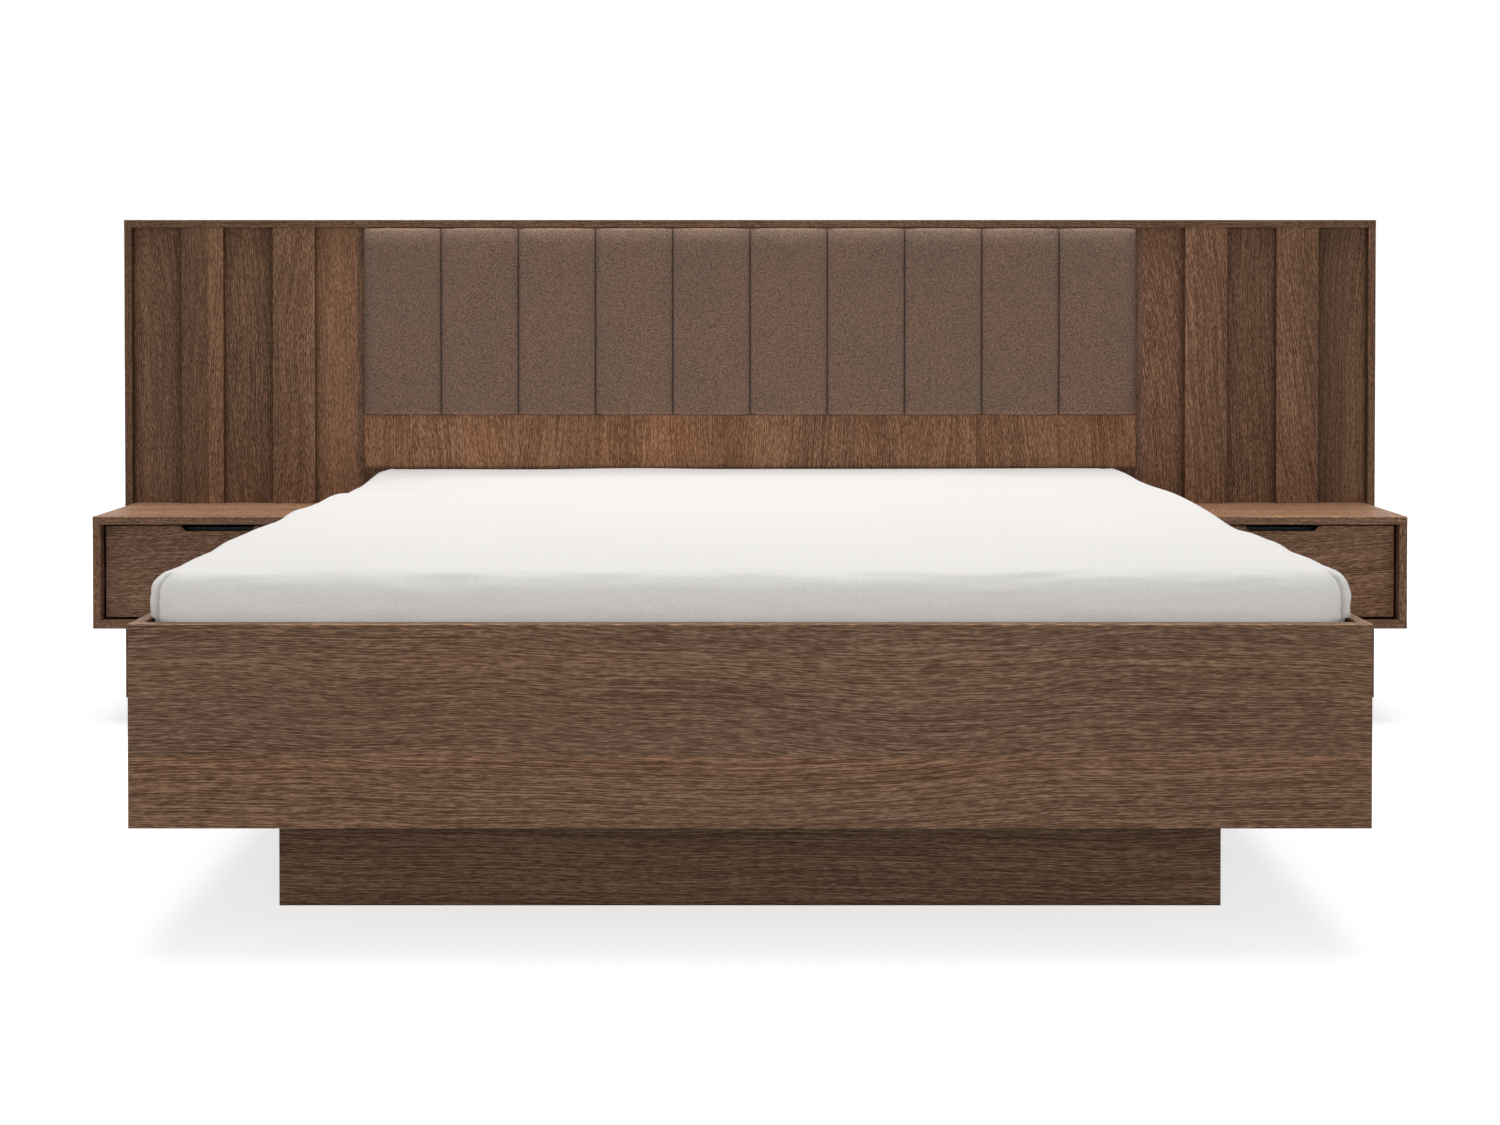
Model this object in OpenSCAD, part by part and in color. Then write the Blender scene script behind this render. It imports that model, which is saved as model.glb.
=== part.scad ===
// Platform bed with a wide panelled headboard and two nightstands hung on it.
// The bed stands with its middle over the origin, its foot towards -Y and the floor at Z = 0.

/* [Boards] */
// Thickness of the veneered boards
board_t = 18; // [16:1:22]
// Width of the small chamfer along the edges of the boards
ease = 0.8; // [0.4:0.1:1.5]

/* [Mattress] */
// Width of the mattress
mattress_w = 1800; // [1400:10:2000]
// Length of the mattress
mattress_l = 2000; // [1900:10:2200]
// Height of the mattress
mattress_h = 200; // [180:5:260]
// Radius of the mattress corners seen from above
mattress_corner_r = 45; // [30:1:80]
// Radius along the top and bottom edges of the mattress
mattress_edge_r = 26; // [15:1:40]
// How much higher the mattress is in its middle
mattress_crown = 4; // [0:1:12]
// Space between the mattress and each side rail
mattress_side_gap = 5; // [3:1:15]
// Space between the mattress and the boards at its head and foot
mattress_end_gap = 3; // [2:1:15]
// Thickness of the fitted sheet
sheet_t = 1.2; // [0.8:0.1:2]
// How far the sheet is tucked in under the mattress
sheet_tuck = 90; // [60:5:150]

/* [Bed box] */
// Height of the side rails and the footboard
rail_h = 304; // [280:1:360]
// Thickness of the footboard
footboard_t = 22; // [18:1:30]
// How deep the mattress sits below the top of the rails
mattress_sink = 123; // [80:1:140]

/* [Plinth] */
// Height of the plinth
plinth_h = 171; // [120:1:220]
// How far the plinth lies behind the outer face of each side rail
plinth_side_recess = 180; // [120:5:260]
// How far the plinth lies behind the front of the footboard
plinth_foot_recess = 206; // [120:1:300]
// How far the plinth ends before the panel at the head
plinth_head_recess = 100; // [40:5:200]

/* [Slatted base] */
// Number of slats in each of the two rows
slat_count = 14; // [10:1:18]
// Width of a slat
slat_w = 70; // [50:1:80]
// Thickness of a slat
slat_t = 12; // [8:1:16]
// Space between the end slats and the ends of the bed box
slat_end_gap = 28; // [10:1:60]
// Length of the plastic holder on each slat end
holder_l = 42; // [30:1:60]
// Wall of the plastic slat holder
holder_wall = 3; // [2:0.5:5]
// Height of the ledgers and the centre beam
beam_h = 40; // [30:1:60]
// Width of the centre beam
beam_w = 60; // [40:1:100]
// Thickness of the ledger on each side rail
ledger_t = 30; // [20:1:45]
// Distance of the cross rails from the ends of the plinth
cross_rail_inset = 380; // [200:10:600]

/* [Headboard] */
// Overall height of the headboard
headboard_h = 1152; // [1000:1:1400]
// How far the back boards lie behind the front of the headboard frame
back_recess = 24; // [20:1:32]
// How far the front of the planks lies behind the front of the frame
plank_inset = 2; // [1:0.5:6]
// Number of raised planks on each side of the headboard
plank_count = 2; // [1:1:3]
// Width of a raised plank
plank_w = 101; // [80:1:120]
// Thickness of the battens on the back
batten_t = 22; // [18:1:30]
// Height of the battens on the back
batten_h = 90; // [60:1:140]
// Distance of the battens from the top and bottom of the back boards
batten_inset = 60; // [30:5:120]
// How far the joints of the top rail lie beyond the edge of the upholstered panel
rail_joint_out = 20; // [5:1:40]
// Width of the joints in the top rail
rail_joint_gap = 0.4; // [0.2:0.1:1]
// Height of the plastic glides under the headboard
glide_h = 5; // [3:1:10]
// Diameter of the glides
glide_d = 16; // [10:1:17]

/* [Upholstered panel] */
// Height of the upholstered panel
cushion_h = 450; // [350:1:520]
// Number of upright channels
channel_count = 10; // [6:1:12]
// Thickness of the board behind the padding
cushion_board_t = 12; // [9:1:15]
// Thickness of the padding at the middle of a channel
cushion_crest = 27; // [20:1:45]
// Thickness of the padding at the seams and at its edge
cushion_seam = 15; // [8:1:18]
// Distance over which the padding rounds off at its top and bottom
cushion_round = 26; // [15:1:50]
// Space around the upholstered panel
cushion_gap = 1; // [0.5:0.5:3]

/* [Nightstands] */
// Width of each nightstand
stand_w = 554; // [450:1:650]
// Height of each nightstand
stand_h = 253; // [220:1:320]
// Depth of each nightstand, measured from the back boards
stand_d = 354; // [300:1:420]
// Height of the nightstand tops above the floor
stand_top_z = 472; // [420:1:520]
// Space between a nightstand and the side rail of the bed
stand_gap = 3; // [2:0.5:8]
// Space between a nightstand and the stile of the headboard
stile_gap = 2; // [1:0.5:6]
// Thickness of the nightstand back
stand_back_t = 12; // [8:1:18]

/* [Drawers] */
// How far the drawer front lies behind the front of the nightstand
drawer_recess = 24; // [10:1:40]
// Gap around the drawer front
drawer_gap = 5; // [2:0.5:8]
// Thickness of the drawer sides and back
drawer_side_t = 12; // [10:1:16]
// Thickness of the drawer bottom
drawer_bottom_t = 5; // [3:0.5:8]
// Depth of the groove that holds the drawer bottom
groove_depth = 5; // [3:0.5:7]
// Height of the groove above the lower edge of the drawer sides
groove_lift = 10; // [6:1:16]
// Space below the drawer sides
drawer_lift = 14; // [8:1:24]
// Space above the drawer sides, which holds the finger pull
drawer_headroom = 53; // [48:1:80]
// Space behind the closed drawer
drawer_rear_space = 20; // [10:1:40]

/* [Finger pull] */
// Width of the notch in the drawer front along its bottom
notch_w = 149; // [100:1:240]
// Depth of the notch in the drawer front
notch_depth = 12; // [8:1:20]
// How far each slanting end of the notch runs out sideways
notch_slant = 9.5; // [0:0.5:20]
// Length of the pull profile behind the drawer front
pull_l = 220; // [160:5:300]
// Clear width of the trough in the pull profile
pull_gap = 22; // [18:1:28]
// Depth of the trough below the bottom of the notch
pull_depth = 22; // [16:1:26]
// How far the back wall of the profile rises above the bottom of the notch
pull_lip = 5; // [0:1:8]
// Wall of the pull profile
pull_wall = 2; // [1.5:0.5:3]

/* [Drawer runners] */
// Space for a runner between the drawer and the nightstand side
runner_t = 12.7; // [12:0.1:14]
// Height of a runner
runner_h = 45; // [35:1:50]
// Thickness of the steel of a runner
runner_steel = 1.2; // [1:0.1:1.5]
// Running clearance between the members of a runner
runner_play = 0.4; // [0.3:0.1:0.5]
// How much shorter the runners are than the drawer sides
runner_setback = 30; // [10:1:60]

/* [Steel fittings] */
// Thickness of the steel plates and brackets
steel_t = 2.5; // [2:0.5:4]
// Length of the legs of the brackets that hold the bed box
bracket_leg = 60; // [40:1:80]
// Height of the brackets that hold the bed box
bracket_h = 90; // [60:1:110]
// Length of the legs of the brackets that hang the nightstands
hanger_leg = 34; // [25:1:40]
// Width of the brackets that hang the nightstands
hanger_w = 60; // [40:1:90]
// Width of the plates that join the sections of the headboard
plate_w = 80; // [50:1:120]
// Height of the plates that join the sections of the headboard
plate_h = 160; // [100:1:240]
// Diameter of the screw heads
screw_d = 9; // [6:1:12]
// Height of the screw heads
screw_head_h = 2; // [1:0.5:3]

/* [Hidden] */
$fn = 48;

walnut = "#66503f";
walnut_dark = "#54412f";
birch = "#c9ac7c";
steel_colour = "#9aa0a4";
charcoal = "#1f2123";
black_plastic = "#1b1b1c";
upholstery_colour = "#6b5f58";
ticking_colour = "#dcdad3";
sheet_colour = "#efedea";
drawer_box_colour = "#8c7257";

// Plan of the bed box, from the mattress outwards
inner_w = mattress_w + 2 * mattress_side_gap;
inner_l = mattress_l + 2 * mattress_end_gap;
bed_w = inner_w + 2 * board_t;

// Plan of the headboard, from the bed box outwards
centre_w = bed_w + 2 * stand_gap;
stile_in_x = centre_w / 2 + stand_w + stile_gap;
headboard_w = 2 * (stile_in_x + board_t);
rail_joint_x = centre_w / 2 + rail_joint_out;
frame_d = back_recess + board_t + batten_t;

// Places along Y: the whole bed is centred on the origin
overall_l = footboard_t + inner_l + board_t + board_t + batten_t;
foot_y = -overall_l / 2;
box_foot_y = foot_y + footboard_t;
panel_y = box_foot_y + inner_l;
back_y = panel_y + board_t;
batten_y = back_y + board_t;
frame_y = back_y - back_recess;

// Heights
rail_top_z = plinth_h + rail_h;
slat_top_z = rail_top_z - mattress_sink;
slat_z = slat_top_z - slat_t;
beam_z = slat_z - holder_wall - beam_h;
cross_rail_h = beam_z - plinth_h;
top_rail_z = headboard_h - board_t;
cushion_z = top_rail_z - cushion_h;

// Plinth
plinth_w = bed_w - 2 * plinth_side_recess;
plinth_y = foot_y + plinth_foot_recess;
plinth_l = panel_y - plinth_head_recess - plinth_y;
cross_rail_front_y = plinth_y + cross_rail_inset;
cross_rail_back_y = plinth_y + plinth_l - cross_rail_inset - board_t;

// Slats
slat_pitch = (inner_l - 2 * slat_end_gap - slat_w) / (slat_count - 1);
row_gap = 4;
holder_play = 2;
slat_in_x = row_gap / 2 + holder_wall;
slat_out_x = inner_w / 2 - holder_play - holder_wall;

// Soft pieces keep this much clear of what they lie against
soft_play = 0.3;
sheet_out = soft_play + sheet_t;
mattress_z = slat_top_z + sheet_out;

// Nightstands: the right one is drawn, the left one is its mirror image
stand_x = centre_w / 2;
stand_y = back_y - stand_d;
stand_z = stand_top_z - stand_h;
stand_mid_x = stand_x + stand_w / 2;
opening_w = stand_w - 2 * board_t;
opening_h = stand_h - 2 * board_t;

// Drawers
front_w = opening_w - 2 * drawer_gap;
front_h = opening_h - 2 * drawer_gap;
front_y = stand_y + drawer_recess;
front_z = stand_z + board_t + drawer_gap;
front_back_y = front_y + board_t;
notch_z = front_z + front_h - notch_depth;
box_w = opening_w - 2 * runner_t;
box_l = stand_d - drawer_recess - board_t - stand_back_t - drawer_rear_space;
box_h = opening_h - drawer_lift - drawer_headroom;
box_z = stand_z + board_t + drawer_lift;
box_in_w = box_w - 2 * drawer_side_t;
groove_play = 0.2;

// Runners
runner_front_space = 2;
runner_l = box_l - runner_setback;
runner_y = front_back_y + runner_front_space;
runner_z = box_z + box_h / 2;
runner_shell = runner_steel + runner_play;

// Planks, spread evenly over the back board above the nightstand
plank_bay = stile_in_x - centre_w / 2;
plank_space = (plank_bay - plank_count * plank_w) / (plank_count + 1);

// Segments of the soft forms
corner_steps = 6;
side_steps = 4;
channel_steps = 6;
edge_angle = 30;

// Rings on top of the mattress: inset as a share of its width, height as a share of the crown
crown_rings = [[0.12, 0.7], [0.28, 1]];

// Rows of points near the ends of a channel, as shares of the rounding
round_rows = [0, 0.1, 0.4, 1];

// Place of the screws along the leg of a steel angle, as a share of the leg
screw_place = 0.65;

// A rectangle with its corners cut by the chamfer
module eased_rect(w, h) {
    polygon([
        [ease, 0], [w - ease, 0], [w, ease], [w, h - ease],
        [w - ease, h], [ease, h], [0, h - ease], [0, ease]
    ]);
}

// Bars with eased long edges, from the corner at the origin
module bar_x(w, d, h) {
    rotate([90, 0, 90]) linear_extrude(w) eased_rect(d, h);
}

module bar_y(w, d, h) {
    translate([0, d, 0]) rotate([90, 0, 0]) linear_extrude(d) eased_rect(w, h);
}

module bar_z(w, d, h) {
    linear_extrude(h) eased_rect(w, d);
}

// A lying board with its top and bottom edges eased all round
module slab(w, d, h) {
    intersection() {
        bar_x(w, d, h);
        bar_y(w, d, h);
    }
}

// A standing board that faces -Y, with its front and back edges eased all round
module panel(w, d, h) {
    intersection() {
        bar_x(w, d, h);
        bar_z(w, d, h);
    }
}

// A standing board that faces X, with its side edges eased all round
module end_panel(w, d, h) {
    intersection() {
        bar_y(w, d, h);
        bar_z(w, d, h);
    }
}

module on_right() {
    children();
}

module on_left() {
    mirror([1, 0, 0]) children();
}

module on_both_sides() {
    on_right() children();
    on_left() children();
}

// Bed box

module footboard() {
    color(walnut) translate([-bed_w / 2, foot_y, plinth_h]) panel(bed_w, footboard_t, rail_h);
}

module side_rail() {
    color(walnut) translate([inner_w / 2, box_foot_y, plinth_h]) end_panel(board_t, inner_l, rail_h);
}

module ledger() {
    color(birch) translate([inner_w / 2 - ledger_t, box_foot_y, beam_z]) cube([ledger_t, inner_l, beam_h]);
}

module centre_beam() {
    color(birch) translate([-beam_w / 2, box_foot_y, beam_z]) cube([beam_w, inner_l, beam_h]);
}

module cross_rail(y) {
    color(birch) translate([-inner_w / 2, y, plinth_h]) cube([inner_w, board_t, cross_rail_h]);
}

// Places one child for each slat of the right row
module each_slat() {
    for (i = [0 : slat_count - 1])
        translate([0, box_foot_y + slat_end_gap + i * slat_pitch, slat_z]) children();
}

module slat_body() {
    translate([slat_in_x, 0, 0]) cube([slat_out_x - slat_in_x, slat_w, slat_t]);
}

module slats() {
    color(birch) on_both_sides() each_slat() slat_body();
}

// A sleeve that is closed at the slat's end and open above
module slat_holder(x) {
    difference() {
        translate([x, -holder_wall, -holder_wall])
            cube([holder_l, slat_w + 2 * holder_wall, slat_t + holder_wall]);
        slat_body();
    }
}

module slat_holders() {
    color(black_plastic) on_both_sides() each_slat() {
        slat_holder(slat_in_x - holder_wall);
        slat_holder(slat_out_x + holder_wall - holder_l);
    }
}

module screw_head() {
    cylinder(d = screw_d, h = screw_head_h);
}

// A steel angle with its corner on the origin, its legs along X and Y, and two screw heads on each leg
module steel_angle(leg, height) {
    linear_extrude(height) difference() {
        square(leg);
        translate([steel_t, steel_t]) square(leg);
    }
    for (z = [height / 4, height * 3 / 4]) {
        translate([leg * screw_place, steel_t, z]) rotate([-90, 0, 0]) screw_head();
        translate([steel_t, leg * screw_place, z]) rotate([0, 90, 0]) screw_head();
    }
}

// The angles stand in the corners of the bed box and behind the ends of the cross rails
module bed_brackets() {
    bracket_z = plinth_h + (cross_rail_h - bracket_h) / 2;
    color(steel_colour) on_both_sides() {
        translate([inner_w / 2, box_foot_y, bracket_z]) mirror([1, 0, 0]) steel_angle(bracket_leg, bracket_h);
        translate([inner_w / 2, panel_y, bracket_z]) mirror([1, 0, 0]) mirror([0, 1, 0])
            steel_angle(bracket_leg, bracket_h);
        for (y = [cross_rail_front_y, cross_rail_back_y])
            translate([inner_w / 2, y + board_t, bracket_z]) mirror([1, 0, 0])
                steel_angle(bracket_leg, bracket_h);
    }
}

// Plinth

module plinth_end(y) {
    color(walnut_dark) translate([-plinth_w / 2, y, 0]) panel(plinth_w, board_t, plinth_h);
}

module plinth_side() {
    color(walnut_dark) translate([plinth_w / 2 - board_t, plinth_y + board_t, 0])
        cube([board_t, plinth_l - 2 * board_t, plinth_h]);
}

// Mattress and sheet: rings of a rounded rectangle, stacked along a rounded profile

// Points from one corner of a ring to the next, the last one left out
function ring_side(from, to) =
    [for (i = [0 : side_steps - 1]) from + (to - from) * i / side_steps];

function ring_corner(centre, r, start) =
    [for (i = [0 : corner_steps - 1])
        centre + r * [cos(start + 90 * i / corner_steps), sin(start + 90 * i / corner_steps)]];

function ring(half_w, half_l, r) =
    let (x = half_w - r, y = half_l - r)
    concat(
        ring_side([half_w, -y], [half_w, y]), ring_corner([x, y], r, 0),
        ring_side([x, half_l], [-x, half_l]), ring_corner([-x, y], r, 90),
        ring_side([-half_w, y], [-half_w, -y]), ring_corner([-x, -y], r, 180),
        ring_side([-x, -half_l], [x, -half_l]), ring_corner([x, -y], r, 270)
    );

// Inset and height of each ring, for a surface that lies grow outside the mattress
function mattress_profile(grow) =
    let (r = mattress_edge_r, h = mattress_h)
    concat(
        [for (a = [0 : edge_angle : 90]) [r - (r + grow) * sin(a), r - (r + grow) * cos(a)]],
        [for (a = [90 : -edge_angle : 0]) [r - (r + grow) * sin(a), h - r + (r + grow) * cos(a)]],
        [for (share = crown_rings) [mattress_w * share[0], h + grow + mattress_crown * share[1]]]
    );

function mattress_ring(step) =
    [for (p = ring(mattress_w / 2 - step[0], mattress_l / 2 - step[0],
                   max(mattress_corner_r - step[0], mattress_edge_r / 2)))
        [p[0], p[1], step[1]]];

ring_n = 4 * (corner_steps + side_steps);
function layer_points(profile) = [for (step = profile) each mattress_ring(step)];

// Walls between the rings first to last of one surface
function wall_faces(first, last) =
    [for (k = [first : last - 1]) for (i = [0 : ring_n - 1])
        let (a = k * ring_n + i, b = k * ring_n + (i + 1) % ring_n)
        each [[a, a + ring_n, b], [b, a + ring_n, b + ring_n]]];

function cap_faces(ring_index, centre_index, up) =
    [for (i = [0 : ring_n - 1])
        let (a = ring_index * ring_n + i, b = ring_index * ring_n + (i + 1) % ring_n)
        up ? [a, centre_index, b] : [b, centre_index, a]];

function flipped(faces) = [for (f = faces) [f[2], f[1], f[0]]];

module mattress() {
    profile = mattress_profile(0);
    last = len(profile) - 1;
    bottom_centre = (last + 1) * ring_n;
    points = concat(
        layer_points(profile),
        [[0, 0, 0], [0, 0, mattress_h + mattress_crown]]
    );
    color(ticking_colour) translate([0, (box_foot_y + panel_y) / 2, mattress_z])
        polyhedron(points, concat(
            wall_faces(0, last),
            cap_faces(0, bottom_centre, false),
            cap_faces(last, bottom_centre + 1, true)
        ), convexity = 4);
}

// The sheet is a closed skin round the mattress, open below inside its tucked hem
module fitted_sheet() {
    tuck = mattress_edge_r + sheet_tuck;
    inner = concat([[tuck, -soft_play]], mattress_profile(soft_play));
    outer = concat([[tuck, -sheet_out]], mattress_profile(sheet_out));
    rings = len(outer);
    outer_centre = 2 * rings * ring_n;
    top_z = mattress_h + mattress_crown;
    points = concat(
        layer_points(outer), layer_points(inner),
        [[0, 0, top_z + sheet_out], [0, 0, top_z + soft_play]]
    );
    hem = [for (i = [0 : ring_n - 1])
        let (a = i, b = (i + 1) % ring_n, c = rings * ring_n)
        each [[a, b, c + a], [b, c + b, c + a]]];
    color(sheet_colour) translate([0, (box_foot_y + panel_y) / 2, mattress_z])
        polyhedron(points, concat(
            wall_faces(0, rings - 1),
            cap_faces(rings - 1, outer_centre, true),
            flipped(wall_faces(rings, 2 * rings - 1)),
            flipped(cap_faces(2 * rings - 1, outer_centre + 1, true)),
            hem
        ), convexity = 6);
}

// Headboard

module top_rail_piece(from_x, to_x) {
    translate([from_x, frame_y, top_rail_z]) bar_x(to_x - from_x, frame_d, board_t);
}

module top_rail() {
    color(walnut) {
        top_rail_piece(-rail_joint_x, rail_joint_x);
        on_both_sides() top_rail_piece(rail_joint_x + rail_joint_gap, headboard_w / 2);
    }
}

module stile() {
    color(walnut) translate([stile_in_x, frame_y, glide_h])
        bar_z(board_t, frame_d, top_rail_z - glide_h);
}

module side_back_board() {
    color(walnut) translate([rail_joint_x, back_y, glide_h])
        cube([stile_in_x - rail_joint_x, board_t, top_rail_z - glide_h]);
}

module centre_back_board() {
    color(walnut) translate([-rail_joint_x, back_y, glide_h])
        cube([2 * rail_joint_x, board_t, top_rail_z - glide_h]);
}

module planks() {
    color(walnut) for (i = [1 : plank_count])
        translate([centre_w / 2 + i * plank_space + (i - 1) * plank_w, frame_y + plank_inset, stand_top_z])
            bar_z(plank_w, back_recess - plank_inset, top_rail_z - stand_top_z);
}

module lower_panel() {
    color(walnut) translate([-centre_w / 2, panel_y, plinth_h])
        cube([centre_w, board_t, cushion_z - plinth_h]);
}

module cushion_board() {
    color(birch) translate([-centre_w / 2 + cushion_gap, back_y - cushion_board_t, cushion_z + cushion_gap])
        cube([centre_w - 2 * cushion_gap, cushion_board_t, cushion_h - 2 * cushion_gap]);
}

// Heights of the rows of points on the padding, closer together near its top and bottom
function cushion_rows(h) =
    let (low = [for (share = round_rows) cushion_round * share])
    concat(low, [h / 2], [for (i = [len(low) - 1 : -1 : 0]) h - low[i]]);

// How full the padding is, from 0 at its edge to 1 past the rounding
function edge_fill(z, h) =
    let (d = min(min(z, h - z) / cushion_round, 1))
    sqrt(1 - (1 - d) * (1 - d));

// How full the padding is across one channel
function channel_fill(u) = sqrt(1 - pow(abs(2 * u - 1), 3));

module cushion() {
    w = centre_w - 2 * cushion_gap;
    h = cushion_h - 2 * cushion_gap;
    columns = channel_count * channel_steps;
    rows = cushion_rows(h);
    row_n = len(rows);
    front = [for (c = [0 : columns]) for (z = rows)
        let (fill = channel_fill((c % channel_steps) / channel_steps) * edge_fill(z, h))
        [w * c / columns, -cushion_seam - (cushion_crest - cushion_seam) * fill, z]];
    back = [for (c = [0 : columns]) for (z = rows) [w * c / columns, 0, z]];
    back_0 = len(front);
    cells = [for (c = [0 : columns - 1]) for (r = [0 : row_n - 2]) c * row_n + r];
    front_faces = [for (a = cells) each [[a, a + 1, a + row_n], [a + 1, a + row_n + 1, a + row_n]]];
    back_faces = [for (f = front_faces) [f[2] + back_0, f[1] + back_0, f[0] + back_0]];
    last = columns * row_n;
    end_faces = [for (r = [0 : row_n - 2]) each [
        [r, r + back_0, r + 1], [r + 1, r + back_0, r + 1 + back_0],
        [last + r, last + r + 1, last + r + back_0],
        [last + r + 1, last + r + 1 + back_0, last + r + back_0]
    ]];
    top = row_n - 1;
    rim_faces = [for (c = [0 : columns - 1]) let (a = c * row_n, b = a + row_n) each [
        [a, b, a + back_0], [b, b + back_0, a + back_0],
        [a + top, a + top + back_0, b + top], [b + top, a + top + back_0, b + top + back_0]
    ]];
    color(upholstery_colour)
        translate([-w / 2, back_y - cushion_board_t - soft_play, cushion_z + cushion_gap])
            polyhedron(concat(front, back), concat(front_faces, back_faces, end_faces, rim_faces),
                convexity = 12);
}

module batten(z) {
    color(birch) translate([-stile_in_x, batten_y, z]) cube([2 * stile_in_x, batten_t, batten_h]);
}

// Plates with four screws each, across the joints of the back boards
module joining_plates() {
    span = top_rail_z - glide_h - 2 * (batten_inset + batten_h);
    low_z = glide_h + batten_inset + batten_h + span / 4;
    color(steel_colour) on_both_sides() for (z = [low_z, low_z + span / 2])
        translate([rail_joint_x, batten_y, z]) {
            translate([-plate_w / 2, 0, -plate_h / 2]) cube([plate_w, steel_t, plate_h]);
            for (x = [-plate_w / 4, plate_w / 4]) for (dz = [-plate_h / 3, plate_h / 3])
                translate([x, steel_t, dz]) rotate([-90, 0, 0]) screw_head();
        }
}

module glide(x, y) {
    translate([x, y, 0]) cylinder(d = glide_d, h = glide_h);
}

// Two glides under each stile, and one near each end of the back boards and under their middle
module headboard_glides() {
    board_mid_y = back_y + board_t / 2;
    end_inset = 2 * glide_d;
    color(black_plastic) on_both_sides() {
        glide(stile_in_x + board_t / 2, frame_y + frame_d / 4);
        glide(stile_in_x + board_t / 2, frame_y + frame_d * 3 / 4);
        glide(stile_in_x - end_inset, board_mid_y);
        glide(rail_joint_x + end_inset, board_mid_y);
        glide(rail_joint_x - end_inset, board_mid_y);
        glide(rail_joint_x / 3, board_mid_y);
    }
}

// Nightstands

module stand_top() {
    color(walnut) translate([stand_x, stand_y, stand_top_z - board_t]) slab(stand_w, stand_d, board_t);
}

module stand_bottom() {
    color(walnut) translate([stand_x, stand_y, stand_z]) slab(stand_w, stand_d, board_t);
}

module stand_side(x) {
    color(walnut) translate([x, stand_y, stand_z + board_t]) bar_z(board_t, stand_d, opening_h);
}

module stand_back() {
    color(walnut_dark) translate([stand_x + board_t, back_y - stand_back_t, stand_z + board_t])
        cube([opening_w, stand_back_t, opening_h]);
}

// Steel angles in the upper back corners, behind and above the drawer
module stand_hangers() {
    color(steel_colour) on_both_sides() for (x = [stand_mid_x - opening_w / 3, stand_mid_x + opening_w / 3])
        translate([x + hanger_w / 2, back_y - stand_back_t, stand_top_z - board_t])
            rotate([0, -90, 0]) mirror([1, 0, 0]) mirror([0, 1, 0]) steel_angle(hanger_leg, hanger_w);
}

// Runners: three nested channels on each side of the drawer

// A channel with its web at web_x and its lips running from there to lip_x
module channel(web_x, lip_x, half_h) {
    way = sign(lip_x - web_x);
    polygon([
        [web_x, -half_h], [lip_x, -half_h], [lip_x, -half_h + runner_steel],
        [web_x + way * runner_steel, -half_h + runner_steel],
        [web_x + way * runner_steel, half_h - runner_steel],
        [lip_x, half_h - runner_steel], [lip_x, half_h], [web_x, half_h]
    ]);
}

// Places a runner member on both sides of the drawer, with X = 0 on the nightstand side
module on_runner_sides() {
    for (side = [-1, 1])
        translate([stand_mid_x + side * opening_w / 2, runner_y + runner_l, runner_z])
            mirror([side > 0 ? 1 : 0, 0, 0]) rotate([90, 0, 0]) linear_extrude(runner_l) children();
}

module cabinet_runners() {
    color(steel_colour) on_runner_sides() channel(0, runner_t - 2 * runner_shell, runner_h / 2);
}

module middle_runners() {
    color(steel_colour) on_runner_sides()
        channel(runner_shell, runner_t - runner_shell, runner_h / 2 - runner_shell);
}

module drawer_runners() {
    color(steel_colour) on_runner_sides()
        channel(runner_t, 2 * runner_shell, runner_h / 2 - 2 * runner_shell);
}

// Drawers

// The notch's cutter runs on along its slants to twice the depth of the notch
module drawer_front() {
    color(walnut) translate([stand_mid_x - front_w / 2, front_y, front_z])
        difference() {
            panel(front_w, board_t, front_h);
            translate([front_w / 2, board_t + 1, front_h - notch_depth])
                rotate([90, 0, 0]) linear_extrude(board_t + 2) polygon([
                    [-notch_w / 2, 0], [notch_w / 2, 0],
                    [notch_w / 2 + notch_slant * 2, notch_depth * 2],
                    [-notch_w / 2 - notch_slant * 2, notch_depth * 2]
                ]);
        }
}

// A trough behind the notch: front flange, floor and a back wall that shows through the notch
module drawer_pull() {
    trough_w = pull_gap + 2 * pull_wall;
    color(charcoal) translate([stand_mid_x - pull_l / 2, front_back_y, notch_z - pull_depth - pull_wall])
        rotate([90, 0, 90]) linear_extrude(pull_l) difference() {
            square([trough_w, pull_depth + pull_wall + pull_lip]);
            translate([pull_wall, pull_wall]) square([pull_gap, pull_depth + pull_lip + 1]);
            translate([-1, pull_depth + pull_wall]) square([pull_wall + 1, pull_lip + 1]);
        }
}

module drawer_sides() {
    color(drawer_box_colour) for (side = [-1, 1])
        translate([stand_mid_x + side * box_w / 2, front_back_y, box_z]) mirror([side > 0 ? 1 : 0, 0, 0])
            difference() {
                cube([drawer_side_t, box_l, box_h]);
                translate([drawer_side_t - groove_depth, -1, groove_lift])
                    cube([groove_depth + 1, box_l + 2, drawer_bottom_t]);
            }
}

module drawer_bottom() {
    w = box_in_w + 2 * (groove_depth - groove_play);
    color(drawer_box_colour) translate([stand_mid_x - w / 2, front_back_y, box_z + groove_lift])
        cube([w, box_l, drawer_bottom_t]);
}

module drawer_back() {
    lift = groove_lift + drawer_bottom_t;
    color(drawer_box_colour)
        translate([stand_mid_x - box_in_w / 2, front_back_y + box_l - drawer_side_t, box_z + lift])
            cube([box_in_w, drawer_side_t, box_h - lift]);
}

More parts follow.
